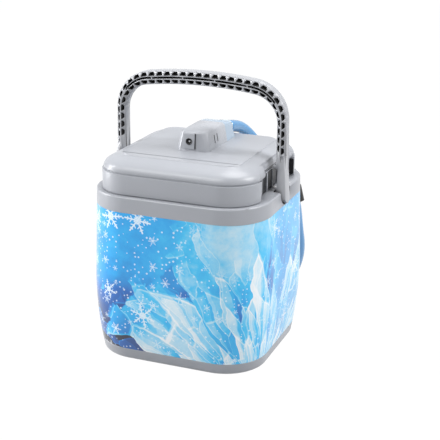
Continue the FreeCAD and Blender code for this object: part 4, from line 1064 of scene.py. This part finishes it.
    def build(self, builder: Builder, grey: Material, shade: Material,
              black: Material) -> None:
        """Makes the lid's outer pieces.

        Args:
            builder: The piece maker.
            grey: The moulded grey plastic.
            shade: The painted shade of the notches' back walls.
            black: The black of the plates that paint shade in the notches' rear ends.
        """
        builder.stand_for("lid_cover", "lid_dome", self.dome(), grey, shade)
        builder.stand_for("lid_base", "lid_band", self.band(), grey, shade)
        builder.add_black("lid_base", "notch_shade_plates", self.recess(), black)


@dataclass
class Collar:
    """The collar, with painted shade in its ear sockets."""

    socket_wall: float = 97.4 * MM
    socket_radius: float = 17.0 * MM
    pivot_z: float = 199.6 * MM
    near: float = 0.6 * MM
    edge_on: float = 0.1

    def build(self, builder: Builder, bucket: Bucket, grey: Material,
              shade: Material) -> None:
        """Makes the collar.

        Args:
            builder: The piece maker.
            bucket: The bucket, whose sides the collar follows.
            grey: The moulded grey plastic.
            shade: The black that paints shade into the sockets.
        """
        mesh = builder.merged("collar")
        # Painted shade: the sockets' flat walls and curved sides get the second material, black.
        for face in mesh.faces:
            centre = face.calc_center_median()
            away = math.hypot(centre.y, centre.z - self.pivot_z)
            wall = abs(abs(centre.x) - self.socket_wall) < self.near and abs(face.normal.x) > Skin.SQUARE_ON
            side = abs(centre.x) > self.socket_wall - self.near and abs(away - self.socket_radius) < self.near
            if (wall and away < self.socket_radius) or (side and abs(face.normal.x) < self.edge_on):
                face.material_index = 1
        bucket.narrow(mesh)
        builder.stand_for("collar", "collar_surface", mesh, grey, shade)


@dataclass
class Bail:
    """The bail: its moulding, with the hollows of the pockets in black and flatter ears."""

    ear_crest: tuple[float, float] = (107.2 * MM, 203.0 * MM)
    ear_top: tuple[float, float] = (104.7 * MM, 240.0 * MM)
    ear_radius: float = 14.2 * MM
    ear_flatness: float = 0.3
    ear_near: float = 0.35 * MM
    front: float = -8.5 * MM
    hollow_front: float = -2.0 * MM
    pockets_low: float = 234.0 * MM
    side_on: float = 0.3
    floor_y: float = -0.5 * MM
    floor_near: float = 0.05 * MM
    slot_least: float = 15.0 * MM
    slot_widening: float = 0.4 * MM

    def build(self, builder: Builder, grey: Material, black: Material) -> None:
        """Makes the bail.

        Args:
            builder: The piece maker.
            grey: The handle's plastic.
            black: The black of the hollows.
        """
        mesh = builder.merged("bail_handle")
        self.flatten_ears(mesh)
        self.widen_slots(mesh)
        for face in mesh.faces:
            centre = face.calc_center_median()
            wall = centre.y < self.hollow_front and abs(face.normal.y) < self.side_on
            floor = abs(centre.y - self.floor_y) < self.floor_near and abs(face.normal.y) > Skin.SQUARE_ON
            if centre.z > self.pockets_low and (wall or floor):
                face.material_index = 1
        builder.stand_for("bail_handle", "bail", mesh, grey, black)

    def widen_slots(self, mesh: Mesh) -> None:
        """Draws the walls of the ridge's long slots apart."""
        walls = {face for face in mesh.faces if self.at_ridge(face)}
        while walls:
            hollow: set[bmesh.types.BMFace] = set()
            found = {walls.pop()}
            while found:
                hollow |= found
                found = {near for face in found for edge in face.edges for near in edge.link_faces} & walls
                walls -= found
            verts = {vert for face in hollow for vert in face.verts}
            spans = (max(places) - min(places) for places in
                     ([vert.co[axis] for vert in verts] for axis in (0, 2)))
            if math.hypot(*spans) > self.slot_least:
                shifts = {vert: sum((-face.normal for face in vert.link_faces if face in hollow), Vector())
                          for vert in verts}
                for vert, shift in shifts.items():
                    vert.co += shift.normalized() * self.slot_widening

    def at_ridge(self, face: bmesh.types.BMFace) -> bool:
        """Whether a face is an upright wall that reaches the front of the ridge."""
        foremost = min(face.verts, key=lambda vert: vert.co.y).co
        upright = abs(face.normal.y) < self.side_on and foremost.z > self.pockets_low
        return upright and foremost.y < self.front + self.ear_near

    def flatten_ears(self, mesh: Mesh) -> None:
        """Brings the edges of the ears' round outer faces forward."""
        slope = (self.ear_top[0] - self.ear_crest[0]) / (self.ear_top[1] - self.ear_crest[1])
        for vert in mesh.verts:
            if vert.co.z > self.ear_top[1] + self.ear_near or abs(vert.co.y) >= self.ear_radius:
                continue
            crest = self.ear_crest[0] + slope * (vert.co.z - self.ear_crest[1])
            drop = self.ear_radius - math.sqrt(self.ear_radius ** 2 - vert.co.y ** 2)
            if abs(abs(vert.co.x) - (crest - drop)) < self.ear_near:
                vert.co.x += math.copysign(drop * (1 - self.ear_flatness), vert.co.x)


@dataclass
class PumpHousing:
    """The pump's housing: its milky rear end, painted shade in its side vents, and the dark seam beside the
    jack's plate.
    """

    milky_from: float = 30.0 * MM
    side_from: float = 15.0 * MM
    side_on: float = 0.3
    vents_z: tuple[float, float] = (246.5 * MM, 257.0 * MM)
    vents_to: float = 12.0 * MM
    seam_x: float = 4.2 * MM
    seam_size: tuple[float, float, float] = (0.8 * MM, 1.4 * MM, 17.6 * MM)
    seam_middle: float = 252.0 * MM
    seam_y: float = -28.1 * MM
    draft: float = 0.07

    def build(self, builder: Builder, grey: Material, milky: Material,
              black: Material) -> None:
        """Makes the housing, with painted shade in its vents, and its seam.

        Args:
            builder: The piece maker.
            grey: The housing's plastic.
            milky: The milky plastic of its rear end.
            black: The seam's black, which also paints shade into the vents.
        """
        mesh = builder.merged("pump_housing")
        Skin.cut(mesh, (0.0, self.milky_from, 0.0), (0.0, 1.0, 0.0))
        for face in mesh.faces:
            centre = face.calc_center_median()
            if centre.y > self.milky_from:
                face.material_index = 1
            # Painted shade: the vents' walls on the sides get the black.
            elif (abs(centre.x) > self.side_from and self.vents_z[0] < centre.z < self.vents_z[1]
                  and abs(centre.y) < self.vents_to and abs(face.normal.x) < self.side_on):
                face.material_index = 2
        builder.stand_for("pump_housing", "pump_cover", mesh, grey, milky, black)
        builder.add_black("pump_housing", "jack_seam", self.seam(), black)

    def seam(self) -> Mesh:
        """A thin upright bar that leans back with the housing's front."""
        mesh = bmesh.new()
        Skin.add_box(mesh, self.seam_size, (self.seam_x, self.seam_y, self.seam_middle))
        for vert in mesh.verts:
            vert.co.y += (vert.co.z - self.seam_middle) * self.draft
        return mesh


@dataclass(frozen=True)
class Lamp:
    """A rectangular lamp: its place in metres, its width and height, and its power in watts."""

    name: str
    place: tuple[float, float, float]
    size: tuple[float, float]
    power: float


@dataclass
class Studio:
    """Camera, lamps, floor and background."""

    middle: Vector = field(default_factory=lambda: Vector((0.0, 0.0, 0.14)))
    eye: Vector = field(default_factory=lambda: Vector((467.6, -1154.4, 564.9)) * MM)
    target: Vector = field(default_factory=lambda: Vector((24.6, 1.0, 151.8)) * MM)
    roll: float = 0.013
    lens: float = 90.11
    sensor: float = 36.0
    far_end: float = 50.0
    floor_half: float = 6.0
    floor_colour: Triple = (0.50, 0.50, 0.51)
    floor_roughness: float = 0.8
    floor_white: float = 0.96
    floor_glow: float = 1.04
    lamps: tuple[Lamp, ...] = (
        Lamp("key_lamp", (-0.7, -1.25, 1.9), (1.4, 1.0), 25.0),
        Lamp("top_lamp", (0.15, 0.75, 2.2), (1.2, 1.2), 27.0),
        Lamp("right_lamp", (1.35, 0.3, 1.3), (0.8, 0.8), 23.0),
        Lamp("left_lamp", (-1.7, -0.25, 0.65), (0.5, 1.5), 31.0),
    )
    world_level: float = 0.44
    gloss_level: float = 0.9

    def build(self) -> None:
        """Builds the whole studio."""
        self._camera()
        self._floor()
        self._world()
        for lamp in self.lamps:
            self._hang(lamp)
        bpy.context.scene.view_settings.view_transform = "Standard"

    @staticmethod
    def _facing(eye: Vector, target: Vector) -> Quaternion:
        """The turn of a camera or lamp that faces a target."""
        return (target - eye).to_track_quat("-Z", "Y")

    def _camera(self) -> None:
        """Camera that looks at the target from the eye."""
        data = bpy.data.cameras.new("camera")
        data.lens, data.sensor_width, data.clip_end = self.lens, self.sensor, self.far_end
        camera = Builder.link("camera", data)
        camera.location = self.eye
        aim = self._facing(self.eye, self.target) @ Quaternion((0.0, 0.0, 1.0), self.roll)
        camera.rotation_euler = aim.to_euler()
        bpy.context.scene.camera = camera

    def _hang(self, lamp: Lamp) -> None:
        """Makes one lamp that faces the machine."""
        data = bpy.data.lights.new(lamp.name, "AREA")
        data.shape = "RECTANGLE"
        data.size, data.size_y = lamp.size
        data.energy = lamp.power
        made = Builder.link(lamp.name, data)
        made.location = lamp.place
        made.rotation_euler = self._facing(Vector(lamp.place), self.middle).to_euler()

    def _floor(self) -> None:
        """Pale floor that keeps the machine's shadow, white to rays that show the background."""
        graph = Graph("pale_floor")
        graph.set(Base_Color=self.floor_colour, Roughness=self.floor_roughness)
        white = graph.signal("ShaderNodeEmission", "Emission", None,
                             {"Color": (1.0, 1.0, 1.0), "Strength": self.floor_glow})
        seen = graph.ray("Camera") + graph.ray("Glossy") + graph.ray("Transmission")
        share = graph.maths("MINIMUM", seen, 1.0) * self.floor_white
        mixed = graph.signal("ShaderNodeMixShader", "Shader", None, {0: share, 1: graph.surface, 2: white})
        graph.feed(graph.output.inputs["Surface"], mixed)
        mesh = bmesh.new()
        bmesh.ops.create_grid(mesh, x_segments=1, y_segments=1, size=self.floor_half)
        Builder.to_piece("floor", mesh, graph.material)

    def _world(self) -> None:
        """White background with a plain soft light."""
        world = bpy.data.worlds.new("studio")
        bpy.context.scene.world = world
        world.use_nodes = True
        tree = Tree(world.node_tree)
        level: Value = self.world_level
        for kind, bright in (("Glossy", self.gloss_level), ("Camera", 1.0)):
            level = tree.signal("ShaderNodeMapRange", "Result", None,
                                {"Value": tree.ray(kind), "To Min": level, "To Max": bright})
        light = tree.signal("ShaderNodeBackground", "Background", None, {"Strength": level})
        tree.node("ShaderNodeOutputWorld", None, {"Surface": light})


@dataclass
class HoseLine:
    """The hose: out of the gland, through the clip, into a loose coil behind the machine."""

    MAP_NAME = "along"

    radius: float = 7.5 * MM
    route: tuple[tuple[float, float, float], ...] = (
        (8.6, 62, 250.5), (12.2, 84, 247.9), (18.3, 103.2, 237.2), (30, 117.5, 216), (53, 120.5, 196.5),
        (76, 114, 172), (83, 113, 146), (86.2, 114.3, 116), (90, 117.5, 85), (79.5, 125, 50),
        (55, 134, 22.5), (18, 139, 7.5), (-7, 138.8, 7.5),
    )
    tail: tuple[tuple[float, float, float], ...] = (
        (-34.6, 290, 9.5), (-16.5, 267.4, 13), (-13.1, 238.6, 17),
        (-25.7, 212.4, 20.5), (-50.2, 197, 23.5), (-94.2, 197, 23.5),
    )
    coil_centre: tuple[float, float] = (-62.0, 230.0)
    coil_radius: float = 92.0
    coil_pitch: float = 15.0
    coil_height: float = 7.5
    coil_turns: float = 1.5
    points_per_turn: int = 12
    spline_order: int = 3
    spline_steps: int = 8
    sides: int = 20

    def points(self) -> list[Vector]:
        """The hose's control points in metres, with the coil's turns between its two stretches."""
        turns = []
        for index in range(int(self.coil_turns * self.points_per_turn) + 1):
            share = index / self.points_per_turn
            angle = -math.pi / 2 - 2 * math.pi * share
            reach = self.coil_radius - self.coil_pitch * share
            turns.append((self.coil_centre[0] + reach * math.cos(angle),
                          self.coil_centre[1] + reach * math.sin(angle), self.coil_height))
        return [Vector(point) * MM for point in (*self.route, *turns, *self.tail)]

    def centreline(self) -> list[Vector]:
        """Points along the spline that the control points give."""
        curve = bpy.data.curves.new("hose_line", "CURVE")
        curve.dimensions = "3D"
        spline = curve.splines.new("NURBS")
        points = self.points()
        spline.points.add(len(points) - 1)
        for target, point in zip(spline.points, points):
            target.co = (*point, 1.0)
        spline.order_u = self.spline_order
        spline.use_endpoint_u = True
        curve.resolution_u = self.spline_steps
        holder = bpy.data.objects.new("hose_line", curve)
        line = bpy.data.meshes.new_from_object(holder)
        path = [vertex.co.copy() for vertex in line.vertices]
        bpy.data.objects.remove(holder)
        bpy.data.meshes.remove(line)
        bpy.data.curves.remove(curve)
        return path

    def tube(self, path: Sequence[Vector], material: Material) -> Piece:
        """Draws the hose's round section along a path.

        Args:
            path: The centreline.
            material: The hose's skin.

        Returns:
            The hose's object.
        """
        mesh = bmesh.new()
        along_map = mesh.loops.layers.uv.new(self.MAP_NAME)
        first = bmesh.ops.create_circle(mesh, segments=self.sides, radius=self.radius)["verts"]
        frames = list(self._frames(path))
        bmesh.ops.transform(mesh, matrix=frames[0], verts=first)
        ring = list(dict.fromkeys(edge for vertex in first for edge in vertex.link_edges))
        placed = frames[0]
        travelled = 0.0
        for index in range(1, len(path)):
            step = (path[index] - path[index - 1]).length
            grown = bmesh.ops.extrude_edge_only(mesh, edges=ring)["geom"]
            verts = {item for item in grown if isinstance(item, bmesh.types.BMVert)}
            faces = [item for item in grown if isinstance(item, bmesh.types.BMFace)]
            old_ring = {vertex for edge in ring for vertex in edge.verts}
            bmesh.ops.transform(mesh, matrix=frames[index] @ placed.inverted(), verts=list(verts))
            for face in faces:
                self._map_face(face, along_map, old_ring, placed, travelled, step)
            ring = [item for item in grown if isinstance(item, bmesh.types.BMEdge)
                    and all(vertex in verts for vertex in item.verts)]
            placed = frames[index]
            travelled += step
        bmesh.ops.holes_fill(mesh, edges=[edge for edge in mesh.edges if edge.is_boundary])
        bmesh.ops.recalc_face_normals(mesh, faces=mesh.faces)
        for face in mesh.faces:
            face.smooth = len(face.verts) == 4
        return Builder.to_piece("therapy_hose", mesh, material)

    def _map_face(self, face: bmesh.types.BMFace, layer: bmesh.types.BMLayerItem, old_ring: set,
                  placed: Matrix, travelled: float, step: float) -> None:
        """Writes one face's map: the angle round the hose across, the length along it up.

        Args:
            face: A face between two rings.
            layer: The map's layer.
            old_ring: The points of the ring that the face grew from.
            placed: Where that ring's frame is.
            travelled: Length of the hose up to that ring.
            step: Length of the face.
        """
        inverse = placed.inverted()
        starts = [loop for loop in face.loops if loop.vert in old_ring]
        angles = {}
        for loop in starts:
            local = inverse @ loop.vert.co
            angles[loop.vert] = math.atan2(local.y, local.x) / (2 * math.pi) % 1.0
        low, high = min(angles.values()), max(angles.values())
        for vertex, angle in angles.items():
            if high - low > 0.5 and angle < 0.5:
                angles[vertex] = angle + 1.0
        for loop in face.loops:
            if loop.vert in old_ring:
                loop[layer].uv = (angles[loop.vert], travelled)
            else:
                partner = next(edge.other_vert(loop.vert) for edge in loop.vert.link_edges
                               if edge.other_vert(loop.vert) in angles)
                loop[layer].uv = (angles[partner], travelled + step)

    @staticmethod
    def _frames(path: Sequence[Vector]) -> Iterable[Matrix]:
        """Frames along a path that turn as little as they can."""
        heading = (path[1] - path[0]).normalized()
        turn = heading.to_track_quat("Z", "X")
        for index, point in enumerate(path):
            before, after = path[max(index - 1, 0)], path[min(index + 1, len(path) - 1)]
            fresh = (after - before).normalized()
            turn = heading.rotation_difference(fresh) @ turn
            heading = fresh
            yield Matrix.Translation(point) @ turn.to_matrix().to_4x4()

    def build(self, builder: Builder, material: Material) -> None:
        """Args:
            builder: The piece maker; not used.
            material: The hose's skin.
        """
        path = self.centreline()
        length = sum((after - before).length for before, after in zip(path, path[1:]))
        hose = self.tube(path, material)
        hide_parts("hose_upper", "hose_lower", "hose_coil")
        Vector(self.route[1]) * MM
        Vector(self.route[5]) * MM
        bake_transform(hose)
        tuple(path[0])
        LOG.info("hose: %.3f m", length)


@dataclass
class Finishes:
    """Every finish of the machine."""

    grey: Moulded = Moulded("satin_grey_plastic", (0.352, 0.366, 0.398), 0.33)
    handle: Moulded = Moulded("handle_grey_plastic", (0.375, 0.385, 0.410), 0.30, grain_depth=0.012 * MM)
    housing: Moulded = Moulded("housing_grey_plastic", (0.42, 0.435, 0.47), 0.28)
    white: Moulded = Moulded("liner_white_plastic", (0.80, 0.81, 0.82), 0.25)
    shell: Moulded = Moulded("shell_plastic", (0.72, 0.73, 0.75), 0.5)
    # Painted shade for the back walls of the lid's notches.
    shade: NotchShade = NotchShade("notch_wall_painted_shade", (0.300, 0.310, 0.335), (0.022, 0.024, 0.028))
    milky: ClearMoulding = ClearMoulding("milky_housing_plastic", (0.46, 0.57, 0.69), 0.15)
    # Black of the jack and the seam; it also paints shade in the notches, sockets and vents.
    black: Moulded = Moulded("black_plastic", (0.012, 0.012, 0.014), 0.35)
    pocket: Moulded = Moulded("pocket_black", (0.006, 0.006, 0.007), 0.5)
    hollow: Moulded = Moulded("clip_black", (0.005, 0.005, 0.006), 0.45)
    dark: Moulded = Moulded("pump_plastic", (0.03, 0.033, 0.04), 0.45)
    coupling: Moulded = Moulded("coupling_plastic", (0.62, 0.63, 0.65), 0.4)
    button: Moulded = Moulded("button_plastic", (0.05, 0.18, 0.42), 0.38)
    seal: Moulded = Moulded("seal_rubber", (0.02, 0.02, 0.022), 0.7)
    cable: Moulded = Moulded("cable_sheath", (0.015, 0.015, 0.018), 0.5)
    film: IceFilm = IceFilm("printed_ice_film")
    hose: HoseSkin = HoseSkin("hose_skin", (0.105, 0.335, 0.64))
    foam: Foam = Foam("insulating_foam", (0.86, 0.82, 0.68))
    steel: Steel = Steel("bright_steel", (0.62, 0.62, 0.64))
    clear: ClearMoulding = ClearMoulding("milky_clear_plastic", (0.72, 0.84, 0.93))
    tube: ClearMoulding = ClearMoulding("clear_tube", (0.78, 0.84, 0.90), 0.6)


class Machine:
    """The whole machine, one method for each group of pieces."""

    def __init__(self, builder: Builder, finishes: Finishes) -> None:
        """Keeps the piece maker and the finishes."""
        self.builder = builder
        self.finishes = finishes

    def build(self) -> None:
        """Builds and dresses every piece."""
        finishes = self.finishes
        grey = finishes.grey.material()
        black = finishes.black.material()
        bucket = Bucket()
        bucket.build(self.builder, finishes.film.material(), grey, finishes.shell.material())
        Lid().build(self.builder, grey, finishes.shade.material(), black)
        Bail().build(self.builder, finishes.handle.material(), finishes.pocket.material())
        Collar().build(self.builder, bucket, grey, black)
        housing = finishes.housing.material()
        PumpHousing().build(self.builder, housing, finishes.milky.material(), black)
        for node, material in (("jack_plate", housing), ("hose_clip", finishes.hollow.material()),
                               ("dc_jack", black), ("hose_gland", finishes.clear.material())):
            self.builder.smooth_copy(node, material)
        for finish, nodes in (
            (finishes.white, ("inner_liner", "lid_plug")),
            (finishes.foam, ("foam_insulation", "lid_foam")),
            (finishes.steel, ("pivot_pins", "clip_screws", "housing_screws", "casing_screws", "jack_pin",
                              "motor_shaft")),
            (finishes.seal, ("lid_gasket",)),
            (finishes.dark, ("pump_stem", "pump_motor", "pump_casing", "intake_strainer", "impeller")),
            (finishes.tube, ("supply_tube", "return_tube")),
            (finishes.cable, ("motor_lead",)),
            (finishes.coupling, ("hose_coupling",)),
            (finishes.button, ("coupling_button",)),
        ):
            self.builder.dress(finish.material(), *nodes)
        HoseLine().build(self.builder, finishes.hose.material())


def main() -> None:
    """Builds the machine and its studio."""
    logging.basicConfig(level=logging.INFO, format="%(name)s: %(message)s")
    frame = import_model()
    Studio().build()
    Machine(Builder(frame), Finishes()).build()


if __name__ == "__main__":
    main()
